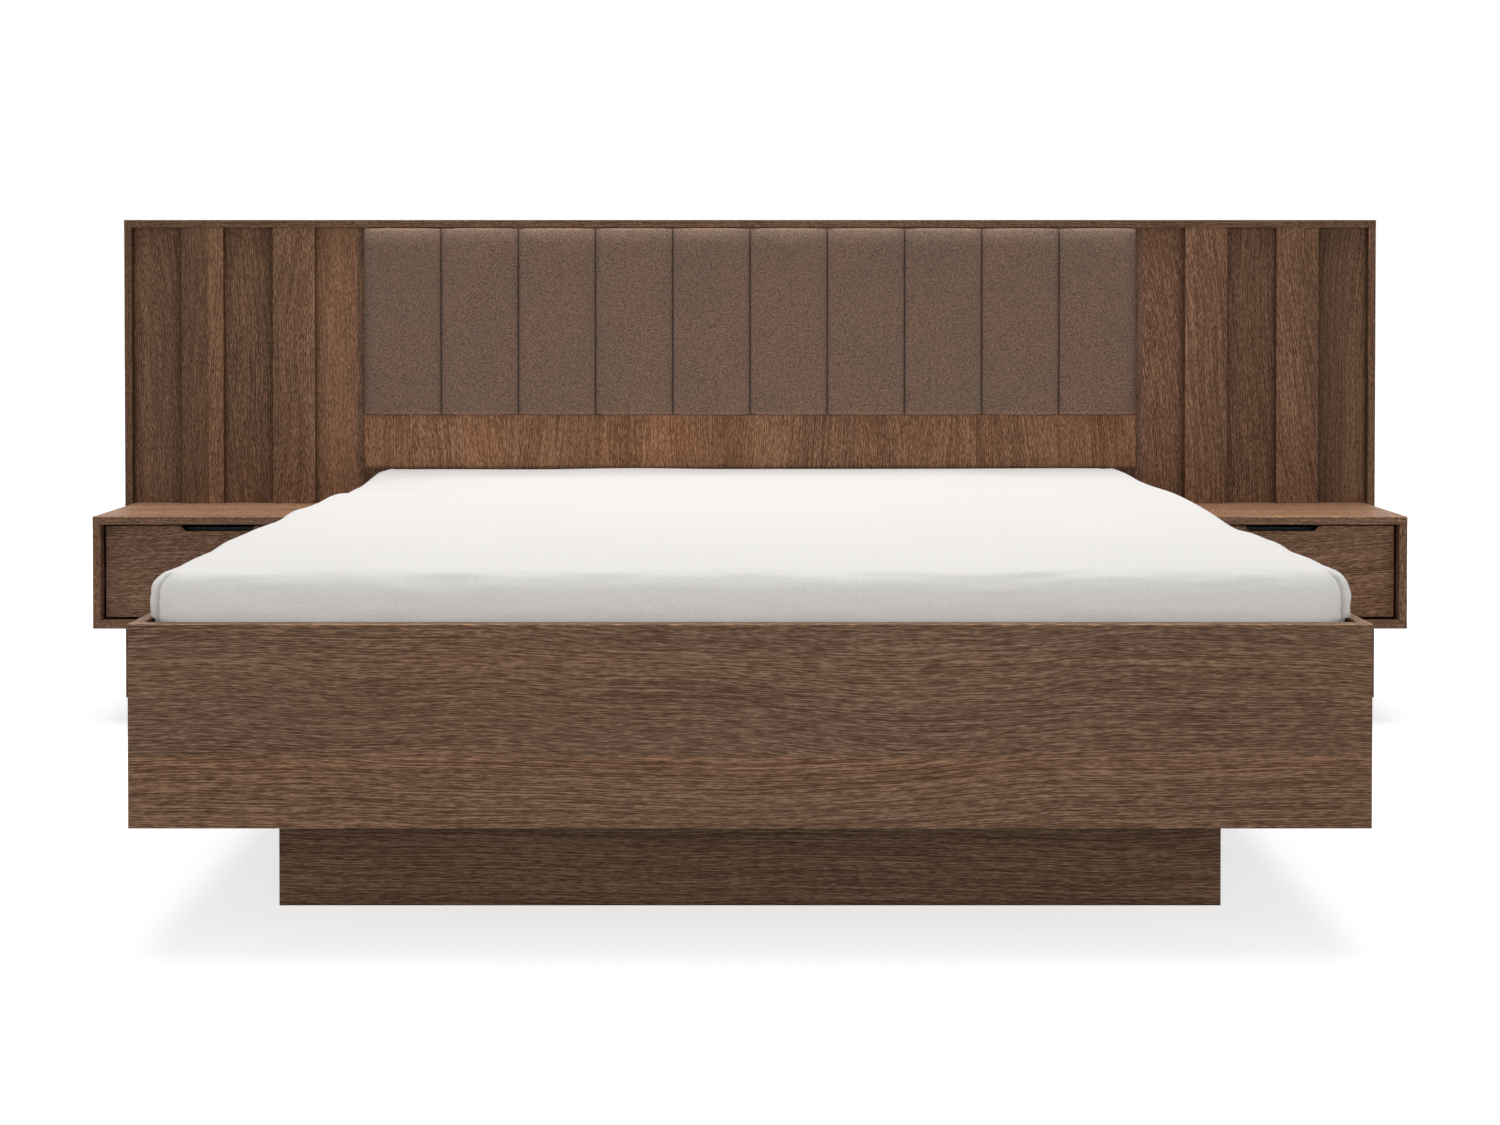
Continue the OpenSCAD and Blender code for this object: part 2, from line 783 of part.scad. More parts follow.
footboard();
on_left() side_rail();  // left_side_rail
on_right() side_rail();  // right_side_rail
on_left() ledger();  // left_ledger
on_right() ledger();  // right_ledger
centre_beam();
cross_rail(cross_rail_front_y);  // cross_rail_front
cross_rail(cross_rail_back_y);  // cross_rail_back
slats();
slat_holders();
plinth_end(plinth_y);  // plinth_front
plinth_end(plinth_y + plinth_l - board_t);  // plinth_back
on_left() plinth_side();  // left_plinth_side
on_right() plinth_side();  // right_plinth_side
bed_brackets();
mattress();
fitted_sheet();
top_rail();
on_left() stile();  // left_stile
on_right() stile();  // right_stile
on_left() side_back_board();  // left_back_board
on_right() side_back_board();  // right_back_board
centre_back_board();
on_left() planks();  // left_planks
on_right() planks();  // right_planks
lower_panel();
cushion_board();
cushion();
batten(top_rail_z - batten_inset - batten_h);  // upper_batten
batten(glide_h + batten_inset);  // lower_batten
joining_plates();
headboard_glides();
stand_hangers();
on_left() stand_top();  // left_stand_top
on_left() stand_bottom();  // left_stand_bottom
on_left() stand_side(stand_x);  // left_stand_inner_side
on_left() stand_side(stand_x + stand_w - board_t);  // left_stand_outer_side
on_left() stand_back();  // left_stand_back
on_left() cabinet_runners();  // left_cabinet_runners
on_left() middle_runners();  // left_middle_runners
on_left() drawer_runners();  // left_drawer_runners
on_left() drawer_front();  // left_drawer_front
on_left() drawer_pull();  // left_drawer_pull
on_left() drawer_sides();  // left_drawer_sides
on_left() drawer_back();  // left_drawer_back
on_left() drawer_bottom();  // left_drawer_bottom
on_right() stand_top();  // right_stand_top
on_right() stand_bottom();  // right_stand_bottom
on_right() stand_side(stand_x);  // right_stand_inner_side
on_right() stand_side(stand_x + stand_w - board_t);  // right_stand_outer_side
on_right() stand_back();  // right_stand_back
on_right() cabinet_runners();  // right_cabinet_runners
on_right() middle_runners();  // right_middle_runners
on_right() drawer_runners();  // right_drawer_runners
on_right() drawer_front();  // right_drawer_front
on_right() drawer_pull();  // right_drawer_pull
on_right() drawer_sides();  // right_drawer_sides
on_right() drawer_back();  // right_drawer_back
on_right() drawer_bottom();  // right_drawer_bottom
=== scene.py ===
"""Looks of a platform bed with a panelled headboard and two nightstands.

The boards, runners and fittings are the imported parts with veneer, timber, metal and plastic
finishes. The upholstered panel, the mattress and the fitted sheet are modelled here.
"""

import math

import bpy
import numpy as np
from bpy.props import FloatProperty, FloatVectorProperty, IntProperty, PointerProperty
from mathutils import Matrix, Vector


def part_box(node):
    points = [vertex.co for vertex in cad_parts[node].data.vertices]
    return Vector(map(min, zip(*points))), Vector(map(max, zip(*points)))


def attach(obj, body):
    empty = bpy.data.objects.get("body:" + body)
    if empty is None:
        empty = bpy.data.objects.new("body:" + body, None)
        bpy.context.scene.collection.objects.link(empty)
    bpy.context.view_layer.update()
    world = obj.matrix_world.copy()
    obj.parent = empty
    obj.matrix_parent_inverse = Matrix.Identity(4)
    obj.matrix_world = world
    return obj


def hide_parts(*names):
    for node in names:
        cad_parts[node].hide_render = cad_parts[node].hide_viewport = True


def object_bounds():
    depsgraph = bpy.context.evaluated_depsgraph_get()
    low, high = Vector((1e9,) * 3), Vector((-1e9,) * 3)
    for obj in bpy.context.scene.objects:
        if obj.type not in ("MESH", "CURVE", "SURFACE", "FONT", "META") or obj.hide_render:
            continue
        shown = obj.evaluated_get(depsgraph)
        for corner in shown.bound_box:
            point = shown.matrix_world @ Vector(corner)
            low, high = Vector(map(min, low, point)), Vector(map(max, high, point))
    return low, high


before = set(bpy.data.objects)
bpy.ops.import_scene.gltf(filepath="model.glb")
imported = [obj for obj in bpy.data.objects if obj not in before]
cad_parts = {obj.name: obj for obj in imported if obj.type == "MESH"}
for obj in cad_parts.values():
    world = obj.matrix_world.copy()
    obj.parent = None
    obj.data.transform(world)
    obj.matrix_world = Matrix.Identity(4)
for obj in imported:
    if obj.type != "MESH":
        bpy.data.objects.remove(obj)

bl_info = {
    "name": "Platform Bed Looks",
    "version": (1, 0, 0),
    "blender": (4, 5, 0),
    "location": "3D View > Sidebar > Bed",
    "description": "Finishes and soft pieces of a platform bed with nightstands",
    "category": "Object",
}

CAD_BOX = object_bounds()
SIDES = ("left", "right")


# ------------ settings

LENGTH = dict(subtype="DISTANCE", unit="LENGTH")
COLOUR = dict(subtype="COLOR", min=0, max=1)
POWER = dict(min=0, max=1000)


class VeneerSettings(bpy.types.PropertyGroup):
    """Colours and figure of the dark veneer."""

    dark: FloatVectorProperty(
        name="Dark grain", description="Colour of the darkest streaks",
        default=(0.165, 0.090, 0.052), **COLOUR)
    middle: FloatVectorProperty(
        name="Middle grain", description="Colour of most of the veneer",
        default=(0.240, 0.137, 0.084), **COLOUR)
    light: FloatVectorProperty(
        name="Light grain", description="Colour of the lightest streaks",
        default=(0.350, 0.214, 0.134), **COLOUR)
    pore: FloatVectorProperty(
        name="Pores", description="How much of each colour is left inside the open pores",
        default=(0.34, 0.27, 0.22), **COLOUR)
    leaf: FloatProperty(
        name="Leaf width", description="Width of one leaf of veneer", default=0.135, min=0.05,
        max=0.4, **LENGTH)
    # Tone of the painted shade on the walls inside the nightstands
    painted_inside_shade: FloatProperty(
        name="Inside tone", description="Tone of the walls inside the nightstands, as a share",
        default=0.05, min=0, max=1)
    pore_depth: FloatProperty(
        name="Pore depth", description="How deep the pores are", default=0.0003, min=0, max=0.001,
        **LENGTH)


class PaddingSettings(bpy.types.PropertyGroup):
    """Form and cover of the upholstered panel."""

    channels: IntProperty(
        name="Channels", description="Number of upright channels", default=10, min=4, max=14)
    seam_depth: FloatProperty(
        name="Seam depth", description="How far the seams lie behind the channels", default=0.012,
        min=0.004, max=0.02, **LENGTH)
    end_rounding: FloatProperty(
        name="End rounding", description="Height over which a channel rolls back at its top",
        default=0.050, min=0.01, max=0.06, **LENGTH)
    cover: FloatVectorProperty(
        name="Cover", description="Colour of the leatherette", default=(0.250, 0.146, 0.091),
        **COLOUR)


class BeddingSettings(bpy.types.PropertyGroup):
    """Form and cloth of the mattress and its sheet."""

    edge_radius: FloatProperty(
        name="Edge radius", description="Rounding along the top edges", default=0.041, min=0.02,
        max=0.06, **LENGTH)
    corner_radius: FloatProperty(
        name="Corner radius", description="Rounding of the corners seen from above", default=0.055,
        min=0.03, max=0.08, **LENGTH)
    tuck: FloatProperty(
        name="Tuck", description="How far the sheet reaches in under the mattress", default=0.09,
        min=0.05, max=0.15, **LENGTH)
    cloth: FloatProperty(
        name="Sheet thickness", description="Thickness of the sheet", default=0.0009, min=0.0004,
        max=0.0012, **LENGTH)
    white: FloatVectorProperty(
        name="Sheet colour", description="Colour of the cotton", default=(0.855, 0.833, 0.808),
        **COLOUR)


class StageSettings(bpy.types.PropertyGroup):
    """Camera and light."""

    eye_height: FloatProperty(
        name="Eye height", description="Height of the camera", default=0.9473, min=0.3, max=2,
        **LENGTH)
    eye_distance: FloatProperty(
        name="Eye distance", description="From the camera to the footboard", default=3.253, min=2,
        max=8, **LENGTH)
    focal_length: FloatProperty(
        name="Focal length", description="Focal length on a 36 mm wide sensor", default=52.80,
        min=20, max=120)
    tilt: FloatProperty(
        name="Tilt", description="How far the camera looks down", default=0.0152, min=-0.2, max=0.2,
        subtype="ANGLE", unit="ROTATION")
    drop: FloatProperty(
        name="Drop", description="Downward shift of the picture, as a share of its width",
        default=0.1491, min=0, max=0.3)
    overhead: FloatProperty(
        name="Overhead lamp", description="Power of the soft overhead lamp in watts", default=195,
        **POWER)
    front: FloatProperty(
        name="Front lamp", description="Power of the soft front lamp in watts", default=49, **POWER)
    side: FloatProperty(
        name="Side lamps", description="Power of each soft side lamp in watts", default=22, **POWER)
    surround: FloatProperty(
        name="Surround", description="Strength of the even light all round", default=0.27, min=0,
        max=2)


# ------------ material nodes

def put(tree, target, value):
    """Links a socket, or writes a plain number or colour on it."""
    if isinstance(value, bpy.types.NodeSocket):
        tree.links.new(value, target)
    else:
        target.default_value = value


def add_node(tree, kind, inputs=(), **settings):
    """Adds a node with its settings. Its inputs are listed in their order, or with their names."""
    node = tree.nodes.new(f"ShaderNode{kind}")
    for name, value in settings.items():
        setattr(node, name, value)
    for socket, value in inputs.items() if isinstance(inputs, dict) else enumerate(inputs):
        put(tree, node.inputs[socket], value)
    return node


class Finish:
    """A new material and short calls that add and link its nodes."""

    sockets = {
        "colour": "Base Color", "rough": "Roughness", "metal": "Metallic",
        "gloss": "Specular IOR Level", "sheen": "Sheen Weight", "sheen_rough": "Sheen Roughness",
        "normal": "Normal", "glow": "Emission Strength", "glow_colour": "Emission Color",
    }

    def __init__(self, name):
        self.material = bpy.data.materials.new(name)
        self.material.use_nodes = True
        self.tree = self.material.node_tree
        coords = add_node(self.tree, "TexCoord").outputs
        self.place, self.facing = coords["Object"], coords["Normal"]

    def surface(self, **values):
        """Fills the shader's sockets and hands over the material."""
        shader = self.tree.nodes["Principled BSDF"]
        for name, value in values.items():
            put(self.tree, shader.inputs[self.sockets[name]], value)
        return self.material

    def add(self, kind, inputs, output=0, **settings):
        return add_node(self.tree, kind, inputs, **settings).outputs[output]

    def math(self, operation, *values):
        return self.add("Math", values, operation=operation)

    def plus(self, a, b):
        return self.math("ADD", a, b)

    def minus(self, a, b):
        return self.math("SUBTRACT", a, b)

    def abs(self, value):
        return self.math("ABSOLUTE", value)

    def times(self, product, *factors):
        for factor in factors:
            product = self.math("MULTIPLY", product, factor)
        return product

    def mix(self, *terms):
        """The sum of some values, each given with its share."""
        total, *others = (self.times(value, share) for value, share in terms)
        for term in others:
            total = self.plus(total, term)
        return total

    def vector(self, operation, a, b):
        return self.add("VectorMath", (a, b), operation=operation)

    def scale(self, vector, factor):
        return self.add("VectorMath", {0: vector, "Scale": factor}, operation="SCALE")

    def split(self, vector):
        return add_node(self.tree, "SeparateXYZ", (vector,)).outputs[:]

    def axes(self, vector):
        return dict(zip("XYZ", self.split(vector)))

    def join(self, x, y, z):
        return self.add("CombineXYZ", (x, y, z))

    def pattern(self, kind, place, scale, output, inputs=(), **settings):
        """A texture. Its scale may be three numbers, one for each direction."""
        if isinstance(scale, tuple):
            place, scale = self.vector("MULTIPLY", place, scale), 1.0
        return self.add(kind, dict(inputs, Vector=place, Scale=scale), output, **settings)

    def noise(self, place, scale, detail=2.0, rough=0.5):
        """Noise around 0.5. Detail is how many finer layers it has, and rough their strength."""
        return self.pattern("TexNoise", place, scale, "Fac", dict(Detail=detail, Roughness=rough))

    def cells(self, place, scale, feature="F1", flat=False):
        """Distance to the middle of a cell. Flat leaves out the third direction."""
        return self.pattern("TexVoronoi", place, scale, "Distance", feature=feature,
                            voronoi_dimensions="2D" if flat else "3D")

    def inside(self, box):
        """1 inside a box given by its two corners, 0 outside."""
        share = 1.0
        for value, low, high in zip(self.split(self.place), *box):
            for test, limit in (("GREATER_THAN", low), ("LESS_THAN", high)):
                share = self.times(share, self.math(test, value, limit))
        return share

    def dice(self, number):
        """Three random numbers from 0 to 1 for each whole number."""
        return self.add("TexWhiteNoise", {"W": number}, "Color", noise_dimensions="1D")

    def span(self, value, low, high, to_low=0.0, to_high=1.0):
        """Maps low..high to to_low..to_high and stops at both ends."""
        return self.add("MapRange", (value, low, high, to_low, to_high))

    def blend(self, share, a, b, mode="MIX"):
        return self.add("Mix", {0: share, 6: a, 7: b}, 2, data_type="RGBA", blend_type=mode)

    def ramp(self, value, stops):
        node = add_node(self.tree, "ValToRGB", (value,))
        elements = node.color_ramp.elements
        for index, (position, colour) in enumerate(stops):
            stop = elements[index] if index < 2 else elements.new(position)
            stop.position = position
            stop.color = opaque(colour)
        return node.outputs[0]

    def bump(self, height, depth, strength):
        return self.add("Bump", {"Height": height, "Distance": depth, "Strength": strength})


def opaque(colour):
    return (*colour[:3], 1.0)


def scaled(colour, factor):
    return tuple(channel * factor for channel in colour[:3])


# ------------ veneer

# Grain runs along the last letter, the leaves of veneer lie side by side along the first
UPRIGHT = "XYZ"
UPRIGHT_SIDE = "YXZ"
ACROSS = "ZYX"
ACROSS_LYING = "YZX"
LENGTHWISE = "ZXY"

# A face looks a certain way past this share of its normal, or gradually between these two
FACING_LIMIT = 0.7
FACING_FADE = (0.6, 0.8)


def veneer(name, lay, seed, tone=1.0, warm=1.0, leaf=None, joint=0.0, spread=0.16, slant=0.1,
           gloss=0.14, top=1.0, painted_side_shade=1.0, pitch=0.0045, figure=0.20, stretch=1.0, vary=0.07,
           tones_and_painted_light=(), painted_inside_shade=None, box=None, painted_shadow_top=None):
    """Dark open-pored veneer in leaves. Bands on the end faces run along the face.

    Tone and warm shift its colour. Top is painted light on the faces that look up. Flank is
    painted shade on the faces that look sideways. Joint is where two leaves meet, and spread how
    far the joints stray. Pitch is the distance between growth lines, figure the share of the
    broad bands, stretch lengthens the dashes, and vary is how far the tones of the leaves lie
    apart. Shades holds places across the board in millimetres, each with its tone and warmth in
    hundredths: the leaves' own tones, painted shadows beside the planks, stiles and panel and on
    the plinth, and painted highlights on the planks' arrises. Hollow is the box of a cabinet's
    inside, whose walls are darkened with painted shade. Box is the board's own, and its upper
    front arris gets a painted highlight. Contact is the height below which a painted shadow
    darkens the board, where the mattress meets it."""
    look = bpy.context.scene.bed_veneer
    leaf = leaf or look.leaf
    n = Finish(name)
    axes, facing = n.axes(n.place), n.axes(n.facing)
    across, third, grain = (axes[letter] for letter in lay)
    on_end = n.math("GREATER_THAN", n.abs(facing[lay[2]]), FACING_LIMIT)
    place = n.blend(on_end, n.join(across, third, grain), n.join(third, grain, across))

    # Each leaf has its own tone, its own part of the pattern and its own slant
    wander = n.noise(n.join(across, 0.0, seed * 1.7), 2.3 / leaf, 0.0)
    position = n.plus(n.math("DIVIDE", n.minus(across, joint), leaf),
                      n.span(wander, 0.3, 0.7, -spread, spread))
    roll = n.dice(n.plus(n.math("FLOOR", position), seed * 13.0))
    roll_tone, roll_warmth, roll_slant = n.split(roll)
    tilt = n.times(n.span(roll_slant, 0.0, 1.0, -slant, slant), n.split(place)[2])
    place = n.vector("ADD", place, n.vector("MULTIPLY", roll, (0.7, 0.7, 9.0)))

    # The lines slant, arch and waver
    arch_height, waver_height = slant * 1.6, 0.006
    drift = n.times(n.minus(n.noise(place, (2.2, 2.2, 1.5), 1.0), 0.5), arch_height)
    waver = n.times(n.minus(n.noise(place, (9.0, 9.0, 5.0), 1.0), 0.5), waver_height)
    a, t, g = n.split(place)
    bent = n.plus(n.plus(a, tilt), n.plus(drift, waver))
    skew = n.plus(bent, t)
    place = n.join(bent, t, g)

    bands = n.noise(place, (11.0, 11.0, 0.5), 1.0, 0.5)
    streaks = n.noise(place, (450.0, 450.0, 8.0 / stretch), 0.0)
    threads = n.noise(place, (600.0, 600.0, 150.0 / math.sqrt(stretch)), 0.0)
    patches = n.noise(place, (6.0, 6.0, 1.4), 1.0)

    # Growth lines stand about a pitch apart, and break up into dashes
    shift = n.times(n.noise(place, (28.0, 28.0, 2.0), 0.0), 1.8)
    turn = n.math("MULTIPLY_ADD", skew, 1.0 / pitch, shift)
    growth = n.span(n.math("PINGPONG", turn, 0.5), 0.18, 0.44)
    broken = n.span(n.noise(place, (240.0, 240.0, 24.0 / stretch), 0.0), 0.38, 0.60, 0.10, 1.0)
    short_pores = n.span(n.cells(n.join(skew, g, 0.0), (430.0, 62.0 / stretch, 1.0), flat=True),
                         0.10, 0.42, 1.0, 0.0)
    dense = n.span(n.noise(place, (13.0, 13.0, 0.7), 0.0), 0.34, 0.66, 0.62, 1.0)
    pores = n.math("MAXIMUM", n.times(growth, broken, dense), n.times(short_pores, 0.95))

    streak_share, thread_share, reach = 0.42, 0.46, 0.12
    level = n.mix((bands, figure), (streaks, streak_share), (threads, thread_share))
    middle = (figure + streak_share + thread_share) / 2
    colour = n.ramp(level, [(middle - reach, look.dark), (middle + reach, look.light),
                            (middle, look.middle)])
    tint = n.ramp(n.mix((patches, 0.7), (roll_warmth, 0.3)), [
        (0.30, (0.97 * warm, 0.985, 1.03 / warm)), (0.72, (1.05 * warm, 1.00, 0.94 / warm))])
    colour = n.blend(1.0, colour, tint, "MULTIPLY")
    # Leaves differ in tone at random; faces that look up get painted light, and faces that look
    # sideways painted shade
    shade = n.times(n.span(roll_tone, 0.0, 1.0, (1 - vary) * tone, (1 + vary) * tone),
                    n.span(facing["Z"], *FACING_FADE, 1.0, top),
                    n.span(n.abs(facing["X"]), *FACING_FADE, 1.0, painted_side_shade))
    # Painted highlight on the top few millimetres of the front face, along the upper front arris
    if box:
        ahead = n.math("LESS_THAN", facing["Y"], -FACING_LIMIT)
        edge = n.span(axes["Z"], box[1].z - 0.0026, box[1].z - 0.0012, 0.0, 0.8)
        shade = n.times(shade, n.math("MULTIPLY_ADD", edge, ahead, 1.0))
    # Tones across the board: the leaves' own tones, with painted shadows and painted highlights
    # near the edges of planks, stiles, the padded panel and the plinth
    if tones_and_painted_light:
        # The ramp holds half of each tone, because it stops at 1
        tones_and_painted_light = [(at / 1000, light / 100, heat / 100) for at, light, heat in tones_and_painted_light]
        first, last = tones_and_painted_light[0][0], tones_and_painted_light[-1][0]
        stops = [((at - first) / (last - first), scaled((light * heat, light, light / heat), 0.5))
                 for at, light, heat in tones_and_painted_light]
        colour = n.blend(1.0, colour, n.ramp(n.span(across, first, last), stops), "MULTIPLY")
        shade = n.times(shade, 2.0)
    # Painted shade: the walls inside a nightstand are darkened, for the shade in the gaps round its
    # drawer
    if painted_inside_shade:
        wall = n.math("LESS_THAN", n.abs(facing["Y"]), 0.5)
        shade = n.times(shade, n.span(n.times(wall, n.inside(painted_inside_shade)), 0.0, 1.0, 1.0, look.painted_inside_shade))
    # Painted shadow on the board below the height where the mattress meets it
    if painted_shadow_top:
        shade = n.times(shade, n.span(axes["Z"], painted_shadow_top - 0.004, painted_shadow_top + 0.004, 0.35, 1.0))
    colour = n.blend(pores, n.scale(colour, shade), opaque(look.pore), "MULTIPLY")
    height = n.minus(n.times(streaks, 0.25), pores)
    return n.surface(colour=colour, rough=n.span(pores, 0.0, 1.0, 0.44, 0.72), gloss=gloss,
                     normal=n.bump(height, look.pore_depth, 0.55))


def dress(node, material):
    """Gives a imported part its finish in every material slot."""
    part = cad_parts[node]
    if not part.material_slots:
        part.data.materials.append(material)
    for slot in part.material_slots:
        slot.material = material


# The faces that look up get painted light on the rails, the footboard, the top rail and the
# nightstands' tops, and the side faces of the stiles and planks get painted shade
RAIL = dict(lay=LENGTHWISE, leaf=0.2, slant=0.05, top=1.3)
PLINTH = dict(leaf=0.3, joint=-0.1, spread=0.0)
HEAD_FRAME = dict(leaf=0.3, joint=0.8, spread=0.0)
STILE = dict(HEAD_FRAME, lay=UPRIGHT_SIDE, warm=1.08, slant=0.03, painted_side_shade=0.45)
BACK_BOARD = dict(lay=UPRIGHT, leaf=0.219, spread=0.0, warm=1.04, slant=0.09, pitch=0.0050,
                  stretch=1.3)
PLANKS = dict(lay=UPRIGHT, leaf=0.219, spread=0.02, warm=1.03, slant=0.10, pitch=0.0046,
              stretch=1.3, painted_side_shade=0.42)
STAND = dict(leaf=0.19, spread=0.05)

BOARDS = {
    "footboard": dict(
        lay=ACROSS, leaf=0.2, joint=0.277, spread=0.02, tone=0.92, slant=0.06, top=1.75,
        figure=0.10, stretch=3.2, pitch=0.0037, tones_and_painted_light=(
            (171, 96, 100), (220, 98, 100), (262, 100, 103), (277, 110, 105), (283, 98, 100),
            (340, 98, 100), (415, 102, 102), (421, 110, 105), (426, 98, 101), (475, 96, 100))),
    "left_side_rail": dict(RAIL, joint=0.30),
    "right_side_rail": dict(RAIL, joint=0.26),
    # Painted shadow under the footboard's overhang at the plinth's top, and along the floor at its
    # foot
    "plinth_front": dict(
        PLINTH, lay=ACROSS, tone=0.83, warm=1.03, slant=0.03, figure=0.12, stretch=2.8, tones_and_painted_light=(
            (0, 60, 100), (5, 82, 100), (14, 100, 100), (80, 100, 100), (96, 91, 100),
            (115, 84, 100), (171, 80, 100))),
    "plinth_back": dict(PLINTH, lay=ACROSS, tone=0.82, warm=1.03, slant=0.03),
    "left_plinth_side": dict(PLINTH, lay=LENGTHWISE, tone=0.82),
    "right_plinth_side": dict(PLINTH, lay=LENGTHWISE, tone=0.82),
    "top_rail": dict(HEAD_FRAME, lay=ACROSS_LYING, tone=0.64, warm=1.03, slant=0.02, top=1.2),
    "left_stile": dict(STILE, tone=0.62),
    "right_stile": dict(STILE, tone=0.65),
    # The joints of the side boards' leaves lie behind the planks. Beside the planks and the stiles,
    # painted shadows darken the boards
    "left_back_board": dict(BACK_BOARD, joint=-1.095, tone=1.14, tones_and_painted_light=(
        (-1482, 50, 102), (-1477, 72, 100), (-1472, 84, 100), (-1447, 84, 100),
        (-1445, 66, 100), (-1392, 68, 100), (-1378, 52, 102), (-1371, 38, 104),
        (-1365, 38, 104), (-1262, 72, 102), (-1250, 82, 101), (-1235, 66, 106),
        (-1170, 68, 106), (-1160, 62, 104), (-1150, 40, 106), (-1146, 40, 106),
        (-1043, 72, 102), (-1034, 104, 101), (-1015, 98, 103), (-980, 87, 104), (-946, 94, 102))),
    "right_back_board": dict(BACK_BOARD, joint=1.095, tone=1.10, tones_and_painted_light=(
        (946, 93, 108), (965, 82, 108), (990, 78, 108), (1028, 80, 105), (1037, 62, 105),
        (1042, 46, 108), (1146, 40, 108), (1151, 46, 106), (1157, 60, 105), (1163, 72, 105),
        (1190, 73, 105), (1235, 70, 105), (1252, 78, 103), (1262, 56, 104), (1365, 28, 108),
        (1371, 30, 106), (1377, 42, 106), (1392, 52, 104), (1420, 55, 103), (1452, 72, 102),
        (1472, 80, 100), (1482, 48, 102))),
    # Painted shade on the board beside the ends of the padded panel
    "centre_back_board": dict(lay=UPRIGHT, tones_and_painted_light=(
        (-946, 100, 100), (-938, 90, 100), (-930, 72, 100), (-925, 68, 100), (925, 68, 100),
        (930, 72, 100), (938, 88, 100), (946, 96, 100))),
    # The planks' inner front arrises get a painted highlight, on both sides
    "left_planks": dict(PLANKS, joint=-1.204, tone=0.92, tones_and_painted_light=(
        (-1364, 66, 103), (-1350, 69, 101), (-1301, 70, 102), (-1297, 100, 102),
        (-1263, 100, 102), (-1145, 82, 108), (-1080, 84, 107), (-1055, 102, 106),
        (-1048, 106, 105), (-1044, 130, 105))),
    "right_planks": dict(PLANKS, joint=1.204, tone=0.94, tones_and_painted_light=(
        (1044, 140, 106), (1049, 110, 106), (1060, 113, 108), (1068, 92, 106), (1100, 96, 106),
        (1145, 86, 104), (1263, 100, 103), (1270, 90, 103), (1305, 94, 103), (1334, 76, 107),
        (1364, 74, 106))),
    # A painted shadow runs along the lower panel where the mattress meets it
    "lower_panel": dict(lay=UPRIGHT, leaf=0.118, tone=1.04, spread=0.3, warm=1.14, pitch=0.0050,
                        stretch=1.3, figure=0.34, vary=0.14, painted_shadow_top=0.5600),
}

STAND_BOARDS = {
    "stand_top": dict(STAND, lay=ACROSS_LYING, joint=0.66, warm=1.03, top=1.70, slant=0.02,
                      gloss=0.3, figure=0.3),
    "stand_bottom": dict(STAND, lay=ACROSS_LYING, joint=0.62, slant=0.04),
    "stand_inner_side": dict(STAND, lay=UPRIGHT_SIDE, joint=0.6),
    "stand_outer_side": dict(STAND, lay=UPRIGHT_SIDE, joint=0.6),
    "stand_back": dict(STAND, lay=ACROSS, joint=0.25, tone=0.9, slant=0.04),
    "drawer_front": dict(lay=ACROSS, leaf=0.3, joint=0.2, spread=0.0, tone=1.08, warm=1.02,
                         slant=0.05, pitch=0.0044, stretch=2.0),
}
# Boards whose tops get more painted light than this also get a painted highlight on the upper front
# arris
LIT_TOP = 1.5  # boards whose tops are lighter than this have a light arris too


def cabinet_inside(side, edge=0.004, slack=0.001):
    """Box of a nightstand's inside, from a little behind the face of the drawer front."""
    def board(name):
        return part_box(f"{side}_{name}")

    # Of the four faces of its two sides, the middle two look inwards
    walls = sorted(corner.x for name in ("stand_inner_side", "stand_outer_side")
                   for corner in board(name))
    return ((walls[1] - slack, board("drawer_front")[0].y + edge,
             board("stand_bottom")[1].z - slack),
            (walls[2] + slack, board("stand_back")[0].y + slack, board("stand_top")[0].z + slack))


class BED_OT_veneer_boards(bpy.types.Operator):
    """Veneer the boards of the bed, the headboard and the nightstands"""

    bl_idname = "bed.veneer_boards"
    bl_label = "Veneer Boards"

    def execute(self, context):
        boards = dict(BOARDS)
        for side in SIDES:
            painted_inside_shade = cabinet_inside(side)
            boards.update({f"{side}_{board}": dict(look, painted_inside_shade=painted_inside_shade)
                           for board, look in STAND_BOARDS.items()})
        for seed, (node, look) in enumerate(boards.items(), start=1):
            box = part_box(node) if look.get("top", 1.0) > LIT_TOP else None
            dress(node, veneer(f"walnut_{node}", seed=seed * 0.61, box=box, **look))
        return {"FINISHED"}


# ------------ plain timber, metal and plastic

def timber(name, lay, light, dark, seed, ply=0.0):
    """Plain wood. Ply is the thickness of its layers where it is plywood."""
    n = Finish(name)
    axes = n.axes(n.place)
    across, third, grain = (axes[letter] for letter in lay)
    place = n.vector("ADD", n.join(across, third, grain), (seed, seed * 0.7, seed * 3.1))
    drift = n.times(n.noise(place, (4.0, 4.0, 1.0), 1.0), 0.08)
    a, t, g = n.split(place)
    place = n.join(n.plus(a, drift), t, g)
    streaks = n.noise(place, (46.0, 46.0, 1.1), 4.0, 0.6)
    fibres = n.noise(place, (620.0, 620.0, 18.0))
    colour = n.ramp(n.mix((streaks, 0.75), (fibres, 0.25)), [(0.35, dark), (0.66, light)])
    if ply:
        # The layers show on the edges, and not on the flat faces
        flat = n.math("GREATER_THAN", n.abs(n.axes(n.facing)[lay[1]]), FACING_LIMIT)
        core = n.span(n.math("PINGPONG", third, ply), ply * 0.4, ply * 0.6, 0.0, 0.45)
        colour = n.blend(n.times(core, n.minus(1.0, flat)), colour, opaque(scaled(dark, 0.6)))
    return n.surface(colour=colour, rough=n.span(fibres, 0.3, 0.7, 0.5, 0.68), gloss=0.3,
                     normal=n.bump(fibres, 0.0002, 0.4))


